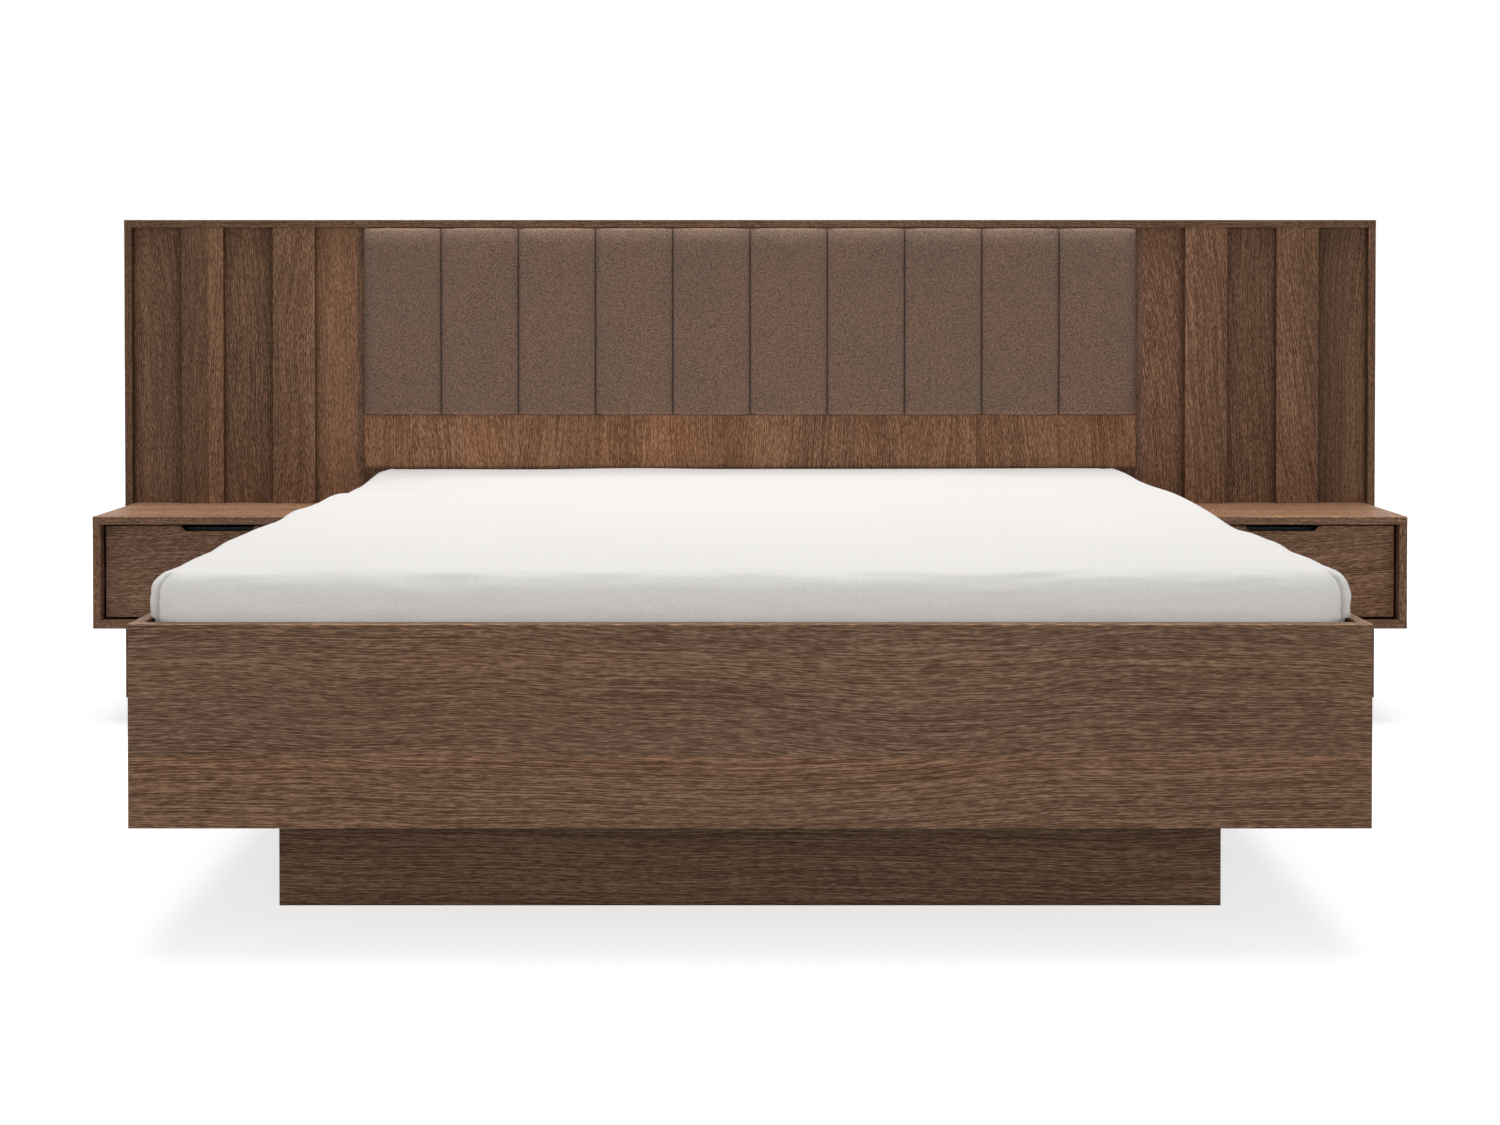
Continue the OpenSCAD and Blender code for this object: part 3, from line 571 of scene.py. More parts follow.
def zinc():
    """Zinc-plated sheet steel with a faint crystal pattern and fine scratches."""
    n = Finish("zinc_plated_steel")
    spangle = n.cells(n.place, 140.0)
    scratches = n.noise(n.place, (60.0, 900.0, 900.0))
    cloud = n.noise(n.place, 24.0, 3.0)
    colour = n.ramp(n.mix((spangle, 0.5), (cloud, 0.5)),
                    [(0.2, (0.36, 0.37, 0.38)), (0.75, (0.50, 0.51, 0.52))])
    return n.surface(colour=colour, metal=1.0, rough=n.span(cloud, 0.3, 0.7, 0.30, 0.46),
                     normal=n.bump(scratches, 0.00005, 0.3))


def charcoal():
    """Anodised aluminium drawn along its length."""
    n = Finish("charcoal_anodised")
    lines = n.noise(n.place, (8.0, 1400.0, 1400.0))
    cloud = n.noise(n.place, 30.0)
    colour = n.ramp(n.mix((lines, 0.6), (cloud, 0.4)),
                    [(0.3, (0.011, 0.012, 0.013)), (0.7, (0.024, 0.026, 0.028))])
    return n.surface(colour=colour, metal=0.6, rough=n.span(lines, 0.3, 0.7, 0.36, 0.5),
                     normal=n.bump(lines, 0.00003, 0.35))


def moulded(name):
    """Black moulded plastic with a fine spark-eroded grain."""
    n = Finish(name)
    grain = n.noise(n.place, 900.0)
    colour = n.ramp(n.noise(n.place, 12.0),
                    [(0.3, (0.009, 0.009, 0.010)), (0.7, (0.016, 0.016, 0.017))])
    return n.surface(colour=colour, rough=n.span(grain, 0.3, 0.7, 0.46, 0.62),
                     normal=n.bump(grain, 0.00008, 0.5))


BIRCH_LIGHT, BIRCH_DARK = (0.62, 0.44, 0.26), (0.46, 0.29, 0.15)
DRAWER_LIGHT, DRAWER_DARK = (0.30, 0.19, 0.12), (0.18, 0.11, 0.065)


class BED_OT_plain_timber(bpy.types.Operator):
    """Finish the slatted base, the battens and the drawer boxes"""

    bl_idname = "bed.plain_timber"
    bl_label = "Finish Plain Timber"

    def execute(self, context):
        birch = {
            "slats": (ACROSS_LYING, 0.0024), "left_ledger": (LENGTHWISE, 0),
            "right_ledger": (LENGTHWISE, 0), "centre_beam": (LENGTHWISE, 0),
            "cross_rail_front": (ACROSS, 0.0028), "cross_rail_back": (ACROSS, 0.0028),
            "cushion_board": (ACROSS, 0.0024), "upper_batten": (ACROSS, 0),
            "lower_batten": (ACROSS, 0),
        }
        for seed, (node, (lay, ply)) in enumerate(birch.items(), start=1):
            dress(node, timber(f"birch_{node}", lay, BIRCH_LIGHT, BIRCH_DARK, seed * 0.37, ply))
        for seed, side in enumerate(SIDES, start=1):
            for board, lay in (("sides", LENGTHWISE), ("back", ACROSS), ("bottom", ACROSS_LYING)):
                dress(f"{side}_drawer_{board}", timber(
                    f"drawer_board_{side}_{board}", lay, DRAWER_LIGHT, DRAWER_DARK, seed * 0.53))
        return {"FINISHED"}


class BED_OT_fittings(bpy.types.Operator):
    """Finish the steel fittings, the runners, the finger pulls and the plastic parts"""

    bl_idname = "bed.fittings"
    bl_label = "Finish Fittings"

    def execute(self, context):
        steel, pull = zinc(), charcoal()
        holder, foot = moulded("slat_holder_plastic"), moulded("glide_plastic")
        for node in ("bed_brackets", "joining_plates", "stand_hangers"):
            dress(node, steel)
        for side in SIDES:
            for member in ("cabinet", "middle", "drawer"):
                dress(f"{side}_{member}_runners", steel)
            dress(f"{side}_drawer_pull", pull)
        dress("slat_holders", holder)
        dress("headboard_glides", foot)
        return {"FINISHED"}


# ------------ soft pieces

def new_piece(name, points, faces, material):
    """A smooth mesh in place, riding with the bed, with its faces turned outwards."""
    mesh = bpy.data.meshes.new(name)
    mesh.from_pydata([tuple(p) for p in points], [], faces)
    mesh.validate()
    mesh.update()
    piece = bpy.data.objects.new(name, mesh)
    bpy.context.scene.collection.objects.link(piece)
    mesh.materials.append(material)
    mesh.shade_smooth()
    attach(piece, "root")
    bpy.ops.object.select_all(action="DESELECT")
    bpy.context.view_layer.objects.active = piece
    piece.select_set(True)
    bpy.ops.object.mode_set(mode="EDIT")
    bpy.ops.mesh.select_all(action="SELECT")
    bpy.ops.mesh.normals_make_consistent(inside=False)
    bpy.ops.object.mode_set(mode="OBJECT")
    return piece


def strip_faces(first, second, closed):
    """Quads between two rows of point numbers."""
    count = len(first)
    return [(second[i], second[(i + 1) % count], first[(i + 1) % count], first[i])
            for i in range(count if closed else count - 1)]


def ripples(places, wavelength, seed, waves=14):
    """A smooth random height of about -1 to 1 at each place, the same on each run."""
    rng = np.random.default_rng(seed)
    directions = rng.normal(size=(waves, places.shape[1]))
    directions /= np.linalg.norm(directions, axis=1)[:, None]
    lengths = wavelength * rng.uniform(0.7, 1.5, waves)
    phases = rng.uniform(0, 2 * np.pi, waves)
    total = np.cos(2 * np.pi * (places @ directions.T) / lengths + phases).sum(axis=1)
    return total / math.sqrt(waves)


def smooth_step(value, low, high):
    share = np.clip((value - low) / (high - low), 0, 1)
    return share * share * (3 - 2 * share)


def bell(distance, width):
    return np.exp(-((distance / width) ** 2))


def leatherette(cover, seams, rims):
    """Taupe leatherette with a pebbled grain, a faint reddish cloud, painted light at its rims and
    painted shade by its seams.

    Seams holds the first seam's place, the distance between them and the last one's place. Rims
    holds the heights of the lower and the upper rim."""
    n = Finish("taupe_leatherette")
    waver = n.blend(1.0, n.noise(n.place, 90.0), (1, 1, 1, 1), "MULTIPLY")
    bent = n.vector("ADD", n.place, n.vector("MULTIPLY", waver, (0.004, 0.004, 0.004)))
    pebbles = n.cells(bent, 320.0, "SMOOTH_F1")
    creases = n.cells(bent, 320.0, "DISTANCE_TO_EDGE")
    # Skewed, so that a flat face doesn't lie along the noise's own grid
    across, depth, height = n.split(n.place)
    skew = n.math("MULTIPLY_ADD", across, 0.53, n.math("MULTIPLY_ADD", height, 0.71, depth))
    mottle = n.noise(n.join(across, skew, height), 440.0, 0.0)
    cloud = n.noise(n.place, 5.0, 3.0, 0.6)
    grain = n.span(creases, 0.0, 0.16)
    red = (cover[0] * 1.08, cover[1], cover[2] * 0.98)
    base = n.blend(n.span(cloud, 0.38, 0.62), opaque(scaled(cover, 0.96)), opaque(red))

    # Painted shade: each channel is darker towards its seams, most of all at the two ends of the
    # panel
    first, pitch, last = seams
    past_first = n.minus(across, first)
    off_seam = n.math("PINGPONG", past_first, pitch / 2)
    off_end = n.math("MINIMUM", past_first, n.minus(last, across))
    # Painted light: the upper rim is lighter and gets a painted grey sheen, and the lower rim is
    # lighter too. Painted shade darkens it a little from the lower rim to the upper
    low, high = rims
    painted_top_light = n.math("POWER", n.span(height, high - 0.045, high), 2.0)
    shade = n.times(n.plus(n.times(grain, 0.25), n.span(mottle, 0.28, 0.72, 0.02, 1.52)),
                    n.span(off_seam, 0.001, 0.018, 0.92, 1.0),
                    n.span(off_end, 0.002, 0.026, 0.84, 1.0),
                    n.math("MULTIPLY_ADD", painted_top_light, 0.45, 1.0),
                    n.span(height, high - 0.008, high - 0.002, 1.0, 1.8),
                    n.span(height, low + 0.003, low + 0.010, 1.5, 1.0),
                    n.span(height, low, high, 1.05, 0.975))
    colour = n.blend(painted_top_light, n.scale(base, shade), (0.05, 0.05, 0.053, 1), "ADD")
    colour = n.blend(n.span(off_seam, 0.0005, 0.0020, 0.85, 0.0), colour, (0.046, 0.014, 0.005, 1))
    raised = n.plus(n.minus(n.times(grain, 0.6), n.times(pebbles, 0.6)), n.times(mottle, 0.7))
    return n.surface(colour=colour, rough=n.span(mottle, 0.3, 0.7, 0.38, 0.54), gloss=0.38,
                     sheen=0.18, sheen_rough=0.35, normal=n.bump(raised, 0.0030, 1.0))


def crowded(count):
    """Shares from 0 to 1, close together at both ends."""
    return (1 - np.cos(np.pi * np.arange(count + 1) / count)) / 2


def channel_front(look, low, high, steps=28, rows=64):
    """Grid of points over the front of the padding, crowded at the seams and at both rims."""
    width = (high.x - low.x) / look.channels
    height = high.z - low.z
    columns = np.append(np.concatenate([k + crowded(steps)[:-1] for k in range(look.channels)]),
                        look.channels)
    u, z = np.meshgrid(columns, crowded(rows) * height, indexing="ij")
    channel = np.minimum(np.floor(u), look.channels - 1)
    off_middle = np.abs(2 * (u - channel) - 1)
    fill = np.sqrt(np.clip(1 - off_middle ** 3.8, 0, 1))
    # The top edge rolls back slowly and then turns over, the bottom edge turns in at once
    top_lip, bottom_lip, roll_back = 0.0025, 0.004, 0.007
    over = np.clip(1 - (height - z) / look.end_rounding, 0, 1)
    lip = np.clip(1 - np.minimum((height - z) / top_lip, z / bottom_lip), 0, 1)
    roll = 1 - np.sqrt(1 - (0.99 * over) ** 2)
    end_fill = np.sqrt(np.clip(1 - lip ** 2, 0, 1)) * (1 - roll)
    crest, seam = low.y, low.y + look.seam_depth

    # The seam is drawn in a little more than the channel's own curve
    pinch = bell(1 - off_middle, 0.012) * 0.0025 * end_fill
    places = np.stack([u * width, z], axis=-1).reshape(-1, 2)
    soft = ripples(places, 0.16, 11).reshape(u.shape) * 0.0005 * fill * end_fill
    y = seam - (seam - crest) * fill * end_fill + pinch + soft + roll_back * roll
    # The ends of each channel bow outwards between its seams
    bow = 0.004 * (1 - fill)
    near_end = 1 - smooth_step(np.minimum(z, height - z), 0, look.end_rounding)
    height_at = low.z + z + np.where(z > height / 2, -bow, bow * 0.4) * near_end
    return np.stack([low.x + u * width, np.maximum(y, crest), height_at], axis=-1)


class BED_OT_pad_headboard(bpy.types.Operator):
    """Model the channelled padding of the upholstered panel"""

    bl_idname = "bed.pad_headboard"
    bl_label = "Pad Headboard"

    def execute(self, context):
        look = context.scene.bed_padding
        low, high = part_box("cushion")
        surface = channel_front(look, low, high)
        front = surface.reshape(-1, 3)
        back = front.copy()
        back[:, 1] = high.y
        count = len(front)
        grid = np.arange(count).reshape(surface.shape[:2])
        faces = []
        for first, second in zip(grid, grid[1:]):
            faces += strip_faces(first, second, False)
        # The back is a flat copy of the front, and a band round the rim joins them
        faces += [tuple(index + count for index in face[::-1]) for face in list(faces)]
        rim = np.concatenate([grid[:-1, 0], grid[-1, :-1], grid[:0:-1, -1], grid[0, :0:-1]])
        faces += strip_faces(rim, rim + count, True)
        seams = (low.x, (high.x - low.x) / look.channels, high.x)
        piece = new_piece("channelled_padding", np.vstack([front, back]), faces,
                          leatherette(look.cover, seams, (low.z, high.z)))
        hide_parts("cushion")
        return {"FINISHED"}


# Soft places along the top edges: place along the edge, half width, and how far it sinks there
EDGE_DIPS = {
    "left": ((-0.91, 0.07, 0.003), (-0.79, 0.15, 0.0055), (-0.69, 0.05, 0.002),
             (-0.60, 0.06, -0.0015), (-0.20, 0.13, 0.0045), (-0.07, 0.05, -0.0025),
             (0.06, 0.07, 0.002), (0.20, 0.12, 0.0045), (0.46, 0.09, 0.010), (0.66, 0.20, 0.0125)),
    "right": ((-0.90, 0.06, 0.003), (-0.72, 0.14, 0.0045), (-0.63, 0.05, -0.004),
              (-0.37, 0.08, 0.0025), (-0.27, 0.14, 0.0065), (0.20, 0.28, -0.0075),
              (0.82, 0.10, -0.003)),
    "foot": ((-0.45, 0.20, 0.002), (0.30, 0.24, 0.003), (0.0, 1.2, 0.004)),
    "head": ((-0.28, 0.16, -0.0035), (0.25, 0.55, -0.0025), (-0.85, 0.25, -0.003),
             (0.72, 0.25, -0.003)),
}


class Bedding:
    """Rings of points over a mattress: flat on top, rounded edges, upright sides and underside."""

    long_steps, wide_steps, corner_steps = 104, 96, 22
    top_rings, edge_rings, under_rings, tuck_rings = 34, 12, 7, 4
    least_radius, least_half = 0.012, 0.01  # of a ring's corners, and of its width
    crown = 0.004
    underside_share = 0.7  # radius of the lower edges, as a share of the upper ones'
    free_heights = (0.478, 0.495)  # over which the cloth comes free of the rails
    reaches = {"left": 0.30, "right": 0.30, "foot": 0.28, "head": 0.28}  # of the edges' dips

    def __init__(self, look):
        low, high = self.low, self.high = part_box("mattress")
        self.middle = (low + high) / 2
        self.half_w, self.half_l = (high.x - low.x) / 2, (high.y - low.y) / 2
        self.look = look
        self.flat_top = high.z - self.crown
        self.rail_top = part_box("left_side_rail")[1].z

    def outline(self, inset, radius):
        """Points and outward directions of a rounded rectangle, thick with points at its seams."""
        half_w, half_l = self.half_w - inset, self.half_l - inset
        x, y = half_w - radius, half_l - radius
        points, normals = [], []
        turn = np.arange(self.corner_steps) / self.corner_steps * 2 - 1
        turn = np.sign(turn) * np.abs(turn) ** 1.7
        angles = np.radians(45 * (turn + 1))
        corners = [((x, y), 0), ((-x, y), 90), ((-x, -y), 180), ((x, -y), 270)]
        for (cx, cy), start in corners:
            way = angles + math.radians(start)
            direction = np.stack([np.cos(way), np.sin(way)], axis=1)
            points.append(np.array([cx, cy]) + radius * direction)
            normals.append(direction)
            quarter = math.radians(start + 90)
            out = np.array([math.cos(quarter), math.sin(quarter)])
            ahead = np.array([-out[1], out[0]])
            steps = self.wide_steps if start in (0, 180) else self.long_steps
            length = 2 * (x if start in (0, 180) else y)
            share = np.arange(steps) / steps
            begin = np.array([cx, cy]) + radius * out
            points.append(begin + share[:, None] * length * ahead)
            normals.append(np.repeat(out[None], steps, axis=0))
        return np.vstack(points), np.vstack(normals)

    def rings(self, grow, tuck):
        """Rows of points from the middle of the top over the edge and down to the underside."""
        edge, corner = self.look.edge_radius, self.look.corner_radius
        rows = []

        def add_row(inset, height, angle, scale=1.0):
            ring, out = self.outline(inset, max(corner - inset, self.least_radius))
            rows.append((ring * scale, np.full(len(ring), height), out, angle))

        for k in range(1, self.top_rings):
            inset = edge + (1 - k / self.top_rings) * (self.half_w - edge - self.least_half)
            shares = [(half - inset) / (half - edge) for half in (self.half_w, self.half_l)]
            add_row(edge, self.flat_top + grow, 90.0, np.array(shares))
        add_row(edge, self.flat_top + grow, 90.0)
        arc = edge + grow
        for k in range(1, self.edge_rings + 1):
            angle = math.radians(90 * (1 - k / self.edge_rings))
            add_row(edge - arc * math.cos(angle), self.flat_top - edge + arc * math.sin(angle),
                    math.degrees(angle))
        rail, low_edge = self.rail_top, edge * self.underside_share
        base, arc = self.low.z + low_edge, low_edge + grow
        # Rows lie close together over the rails, where the sheet steps out
        for height in (*np.linspace(self.flat_top - edge, rail + 0.0035, 8)[1:],
                       rail + 0.0018, rail, *np.linspace(rail - 0.008, base, 6)):
            add_row(-grow, height, 0.0)
        for k in range(1, self.under_rings + 1):
            angle = math.radians(90 * k / self.under_rings)
            add_row(low_edge - arc * math.cos(angle), base - arc * math.sin(angle),
                    -math.degrees(angle))
        for k in range(1, self.tuck_rings + 1):
            add_row(low_edge + tuck * k / self.tuck_rings, self.low.z - grow, -90.0)
        return rows

    def sink(self, xy, z):
        """How far the surface lies below its plain form, in metres: soft dips along the edges."""
        x, y = xy[:, 0] - self.middle.x, xy[:, 1] - self.middle.y
        inwards = {"left": (x + self.half_w, y), "right": (self.half_w - x, y),
                   "foot": (y + self.half_l, x), "head": (self.half_l - y, x)}
        depth = np.zeros(len(xy))
        for side, (inward, along) in inwards.items():
            near = 1 - smooth_step(inward, 0.0, self.reaches[side])
            for place, width, dip in EDGE_DIPS[side]:
                depth += dip * bell(along - place, width) * near
        return depth * smooth_step(z, self.high.z - 0.10, self.high.z - 0.01)

    def swell(self, xy):
        """The crown in the middle, and slow waves of the filling."""
        x = (xy[:, 0] - self.middle.x) / self.half_w
        y = (xy[:, 1] - self.middle.y) / self.half_l
        fall = [1 - np.clip(np.abs(way), 0, 1) ** 3 for way in (x, y)]
        crown = self.crown * fall[0] * fall[1]
        inside = smooth_step(1 - np.abs(x), 0.0, 0.12) * smooth_step(1 - np.abs(y), 0.0, 0.12)
        return crown + 0.0012 * ripples(xy, 0.42, 21) * inside


def corner_frames(bed, xy):
    """For each corner its side of the bed, and how far points lie ahead and aside of its seam."""
    x, y = xy[:, 0] - bed.middle.x, xy[:, 1] - bed.middle.y
    for sx in (-1, 1):
        for sy in (-1, 1):
            dx = x - sx * (bed.half_w - bed.look.corner_radius)
            dy = y - sy * (bed.half_l - bed.look.corner_radius)
            yield sx, (dx * sx + dy * sy) / math.sqrt(2), (dx * -sx + dy * sy) / math.sqrt(2)


def corner_seams(bed, xy, z):
    """Drawn-in seams down the corners, which end in a small pit on the edge. In metres, inwards."""
    depth = np.zeros(len(xy))
    upright = smooth_step(bed.flat_top - z, 0.003, 0.010)
    pit = bell(bed.flat_top - 0.011 - z, 0.005)
    for _, ahead, aside in corner_frames(bed, xy):
        here = (ahead > -0.03) & (ahead < 0.12)
        depth += here * upright * 0.0060 * bell(aside, 0.0028)
        depth += here * pit * 0.0030 * bell(aside, 0.0045)
    return depth


def sheet_folds(bed, xy, z, out, angle):
    """How far the cloth stands out from the plain form, in metres: seams, tucks and creases."""
    x, y = xy[:, 0] - bed.middle.x, xy[:, 1] - bed.middle.y
    rise = np.zeros(len(xy))
    free = smooth_step(z, *bed.free_heights)

    # Above the rails the sides stand out a little near the foot
    if angle >= 0:
        proud = np.where(x < 0, 0.0060, 0.0078) * out[:, 0] ** 2 * math.cos(math.radians(angle))
        above = smooth_step(z, bed.rail_top, bed.rail_top + 0.0035)
        rise += proud * above * (1 - smooth_step(y, -0.84, -0.60))

    # Creases run mostly across the bed near its foot edge
    foot = bell(y + bed.half_l - 0.02, 0.10)
    crease = np.abs(ripples(np.column_stack([xy, z]) * np.array([0.16, 1.0, 1.0]), 0.030, 31))
    rise += 0.0014 * foot * (crease - 0.6) * free

    # Long soft pulls on the front face, some of them slanting
    if abs(angle) < 60:
        front = free * (y < -bed.half_l + 0.06)
        pulls = ripples(np.column_stack([x, z * 0.25]), 0.24, 37)
        slants = ripples(np.column_stack([x * 0.45 + z * 1.4, z * 0.5]), 0.045, 41)
        rise += (0.0016 * pulls + 0.0005 * slants) * front

    # The seams have a lapped edge with small gathers, and a fan of small folds above
    for sx, ahead, aside in corner_frames(bed, xy):
        here = (ahead > -0.02) & (ahead < 0.12)
        upright = smooth_step(bed.flat_top - z, 0.004, 0.020)
        beside = bell(aside, 0.016)
        lap = 0.0026 * smooth_step(aside, -0.001, 0.001) * beside
        gathers = 0.0006 * np.cos(2 * np.pi * z / 0.021 + sx * aside * 90) * beside
        rise += here * upright * (lap + gathers * free)
        fan = bell(np.hypot(ahead, aside) - 0.025, 0.045)
        fan *= smooth_step(z, bed.flat_top - 0.03, bed.flat_top)
        turn = np.arctan2(aside, ahead + 0.02)
        rise += 0.0012 * fan * np.cos(turn * 7 + sx) * (np.abs(turn) < 1.2)
    return rise


def lay_bedding(bed, grow, tuck, folds, closed_under):
    """Points and faces of one layer of bedding, which lies outside the plain form by grow."""
    points, levels, start = [], [], 0
    for ring, z, out, angle in bed.rings(grow, tuck):
        xy = ring + np.array([bed.middle.x, bed.middle.y])
        lift = -corner_seams(bed, xy, z[0])
        if folds:
            lift += sheet_folds(bed, xy, z, out, angle)
        tilt = math.radians(angle)
        normal = np.column_stack([out * math.cos(tilt), np.full(len(ring), math.sin(tilt))])
        place = np.column_stack([xy, z]) + normal * lift[:, None]
        if angle >= 0:
            shape = bed.swell(xy) * smooth_step(z, bed.high.z - 0.07, bed.flat_top)
            place[:, 2] += shape - bed.sink(xy, z)
        points.append(place)
        levels.append(np.arange(len(ring)) + start)
        start += len(ring)
    faces = []
    for upper, lower in zip(levels, levels[1:]):
        faces += strip_faces(upper, lower, True)

    def close(level, tip):
        """Closes a ring with triangles to a point in its middle."""
        points.append(points[level].mean(axis=0, keepdims=True))
        ring = levels[level].tolist()
        return [(a, b, tip) for a, b in zip(ring, ring[1:] + ring[:1])]

    faces += close(0, start)
    if closed_under:
        faces += [(b, a, tip) for a, b, tip in close(len(levels) - 1, start + 1)]
    return np.vstack(points), faces


def cotton(white, bed):
    """Plain white cotton with a fine weave, and painted shade along each corner seam."""
    n = Finish("white_cotton")
    weave = n.noise(n.place, 1300.0, 1.0)
    slubs = n.noise(n.place, (60.0, 700.0, 700.0))
    cloud = n.noise(n.place, 3.0)
    fleck = n.noise(n.place, (260.0, 380.0, 380.0), 0.0)
    colour = n.blend(n.span(cloud, 0.35, 0.65), opaque(scaled(white, 0.985)), opaque(white))
    colour = n.blend(n.span(fleck, 0.3, 0.7, 0.0, 0.06), colour, (0, 0, 0, 1))

    # Past: how far a point lies beyond the straight part of its edge. Aside: off the corner's seam
    across, along, height = n.split(n.place)
    lines = ((across, bed.middle.x, bed.half_w), (along, bed.middle.y, bed.half_l))
    past = [n.minus(n.abs(n.minus(value, centre)), half - bed.look.corner_radius)
            for value, centre, half in lines]
    aside = n.times(n.minus(*past), math.sqrt(0.5))
    # Painted shade at the corner seams: a dark line on the seam, and a band that fades out on its
    # side towards the bed's long side, below the top edge
    line = n.span(n.abs(aside), 0.0008, 0.0024, 0.75, 0.0)
    beside = n.times(n.span(aside, 0.0, 0.011, 0.40, 0.0), n.math("GREATER_THAN", aside, 0.0))
    corner = n.span(n.math("MINIMUM", *past), 0.002, 0.008)
    below = n.span(height, bed.flat_top - 0.016, bed.flat_top - 0.007, 1.0, 0.0)
    seam = n.times(n.math("MAXIMUM", line, beside), n.times(corner, below))
    colour = n.blend(seam, colour, (0.05, 0.05, 0.055, 1))
    return n.surface(colour=colour, rough=0.88, gloss=0.2, sheen=0.12, sheen_rough=0.5,
                     normal=n.bump(n.mix((weave, 0.6), (slubs, 0.4)), 0.00025, 0.35))


def ticking(pitch=0.09):
    """Knitted mattress cover with shallow diamond quilting."""
    n = Finish("mattress_ticking")
    x, y = n.split(n.place)[:2]
    seams = [n.math("PINGPONG", way, pitch) for way in (n.plus(x, y), n.minus(x, y))]
    quilt = n.span(n.math("MINIMUM", *seams), 0.0, pitch * 0.35)
    knit = n.noise(n.place, 1100.0, 1.0)
    colour = n.blend(quilt, (0.55, 0.54, 0.52, 1), (0.72, 0.71, 0.68, 1))
    return n.surface(colour=colour, rough=n.span(knit, 0.3, 0.7, 0.8, 0.95), gloss=0.2,
                     normal=n.bump(n.plus(quilt, n.times(knit, 0.1)), 0.004, 0.8))


class BED_OT_make_mattress(bpy.types.Operator):
    """Model the mattress under the sheet"""

    bl_idname = "bed.make_mattress"
    bl_label = "Make Mattress"

    def execute(self, context):
        bed = Bedding(context.scene.bed_bedding)
        points, faces = lay_bedding(bed, grow=-0.006, tuck=0.3, folds=False, closed_under=True)
        piece = new_piece("mattress_core", points, faces, ticking())
        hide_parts("mattress")
        return {"FINISHED"}


class BED_OT_fit_sheet(bpy.types.Operator):
    """Fit the cotton sheet over the mattress"""

    bl_idname = "bed.fit_sheet"
    bl_label = "Fit Sheet"

    def execute(self, context):
        look = context.scene.bed_bedding
        bed = Bedding(look)
        points, faces = lay_bedding(bed, grow=0.0012, tuck=look.tuck, folds=True,
                                    closed_under=False)
        piece = new_piece("cotton_sheet", points, faces, cotton(look.white, bed))
        thick = piece.modifiers.new("cloth", "SOLIDIFY")
        thick.thickness = look.cloth
        thick.offset = -1
        bpy.ops.object.modifier_apply(modifier=thick.name)
        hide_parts("fitted_sheet")
        return {"FINISHED"}


# ------------ stage

def add_lamp(name, place, aim, width, depth, power):
    """A soft rectangular lamp that looks at a point, with its power in watts."""
    lamp = bpy.data.lights.new(name, "AREA")
    lamp.shape = "RECTANGLE"
    lamp.size, lamp.size_y = width, depth
    lamp.energy = power
    holder = bpy.data.objects.new(name, lamp)
    holder.location = place
    holder.rotation_euler = (Vector(aim) - Vector(place)).to_track_quat("-Z", "Y").to_euler()
    bpy.context.scene.collection.objects.link(holder)


def picture_rays(tree):
    """1 for rays that show the background: straight from the camera, or by a mirror or glass."""
    rays = add_node(tree, "LightPath").outputs
    share = rays["Is Camera Ray"]
    for kind in ("Is Glossy Ray", "Is Transmission Ray"):
        share = add_node(tree, "Math", (share, rays[kind]), operation="MAXIMUM").outputs[0]
    return share


def set_camera(scene, look):
    """The photograph's camera, in front of the bed's middle, with its picture shifted down."""
    eye = bpy.data.cameras.new("eye")
    eye.sensor_width = 36
    eye.lens = look.focal_length
    eye.shift_y = -look.drop
    camera = bpy.data.objects.new("eye", eye)
    camera.location = (0, CAD_BOX[0].y - look.eye_distance, look.eye_height)
    camera.rotation_euler = (math.radians(90) - look.tilt, 0, 0)
    scene.collection.objects.link(camera)
    scene.camera = camera
    scene.view_settings.view_transform = "Standard"


def lay_floor(context, size=60):
    """A pale floor that keeps the bed's shadow."""
    bpy.ops.object.select_all(action="DESELECT")
    bpy.ops.mesh.primitive_plane_add(size=size, location=(0, 0, 0))
    floor = context.active_object
    floor.name = "studio_floor"
    n = Finish("pale_floor")
    seen = picture_rays(n.tree)
    plain = n.ramp(n.noise(n.place, 3.0), [(0.3, (0.60, 0.60, 0.60)), (0.7, (0.62, 0.62, 0.62))])
    # Near the bed the floor shows its shadow, and further off it fades to plain white
    level = n.vector("MULTIPLY", n.place, (1.0, 1.0, 0.0))
    far = n.add("VectorMath", (level,), "Value", operation="LENGTH")
    floor.data.materials.append(n.surface(
        colour=n.blend(seen, plain, (0.6, 0.6, 0.6, 1)), rough=0.9, gloss=0.0,
        glow_colour=(1, 1, 1, 1), glow=n.times(seen, n.span(far, 1.6, 4.0, 0.7, 1.0))))


def set_surround(scene, strength):
    """Even light all round, and a background that shows as plain white."""
    world = scene.world = bpy.data.worlds.new("surround")
    world.use_nodes = True
    tree = world.node_tree
    level = add_node(tree, "MapRange", {
        "Value": picture_rays(tree), "To Min": strength, "To Max": 1.0}).outputs[0]
    back = tree.nodes["Background"].inputs
    put(tree, back["Color"], (1, 1, 1, 1))
    put(tree, back["Strength"], level)


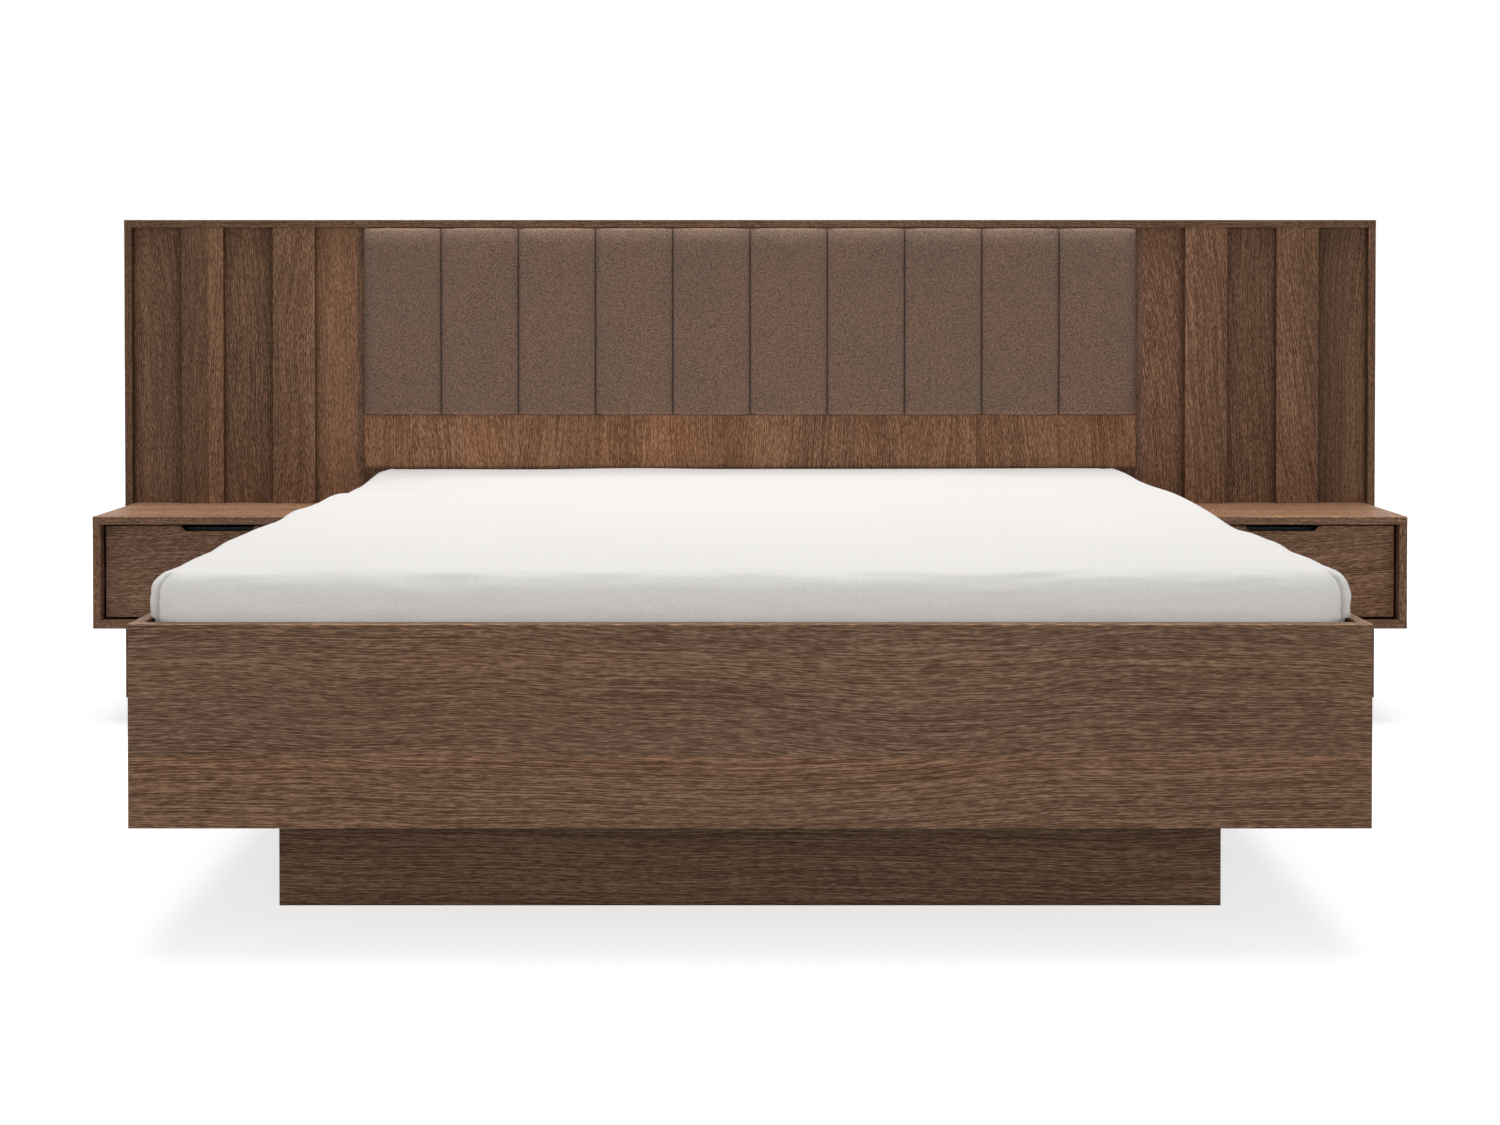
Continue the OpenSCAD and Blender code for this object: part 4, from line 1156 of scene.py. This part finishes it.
class BED_OT_set_stage(bpy.types.Operator):
    """Set up the camera, the floor and the soft light"""

    bl_idname = "bed.set_stage"
    bl_label = "Set Stage"

    def execute(self, context):
        scene, look = context.scene, context.scene.bed_stage
        set_camera(scene, look)
        lay_floor(context)
        set_surround(scene, look.surround)
        add_lamp("overhead_softbox", (0, 1.0, 4.5), (0, 1.0, 0.0), 5.0, 3.6, look.overhead)
        add_lamp("front_softbox", (0, -5.0, 1.2), (0, 0.0, 0.6), 2.4, 1.8, look.front)
        for name, side in zip(SIDES, (-1, 1)):
            add_lamp(f"{name}_softbox", (side * 4.6, -2.2, 1.3), (0, -0.9, 0.5), 2.0, 2.0,
                     look.side)
        return {"FINISHED"}


# ------------ panel and registration

STEPS = (
    BED_OT_set_stage, BED_OT_veneer_boards, BED_OT_plain_timber, BED_OT_fittings,
    BED_OT_pad_headboard, BED_OT_make_mattress, BED_OT_fit_sheet,
)
SETTINGS = {
    "bed_veneer": VeneerSettings, "bed_padding": PaddingSettings,
    "bed_bedding": BeddingSettings, "bed_stage": StageSettings,
}


class BED_PT_looks(bpy.types.Panel):
    """Steps and settings of the bed's looks"""

    bl_idname = "BED_PT_looks"
    bl_label = "Platform Bed"
    bl_space_type = "VIEW_3D"
    bl_region_type = "UI"
    bl_category = "Bed"

    def draw(self, context):
        for step in STEPS:
            self.layout.operator(step.bl_idname)
        for attribute in SETTINGS:
            group = getattr(context.scene, attribute)
            box = self.layout.box()
            for name in group.__annotations__:
                box.prop(group, name)


CLASSES = (*SETTINGS.values(), *STEPS, BED_PT_looks)


def register():
    for made in CLASSES:
        bpy.utils.register_class(made)
    for attribute, group in SETTINGS.items():
        setattr(bpy.types.Scene, attribute, PointerProperty(type=group))


def unregister():
    for attribute in SETTINGS:
        delattr(bpy.types.Scene, attribute)
    for made in reversed(CLASSES):
        bpy.utils.unregister_class(made)


def main():
    register()
    bpy.ops.bed.set_stage()
    bpy.ops.bed.veneer_boards()
    bpy.ops.bed.plain_timber()
    bpy.ops.bed.fittings()
    bpy.ops.bed.pad_headboard()
    bpy.ops.bed.make_mattress()
    bpy.ops.bed.fit_sheet()


if __name__ == "__main__":
    main()
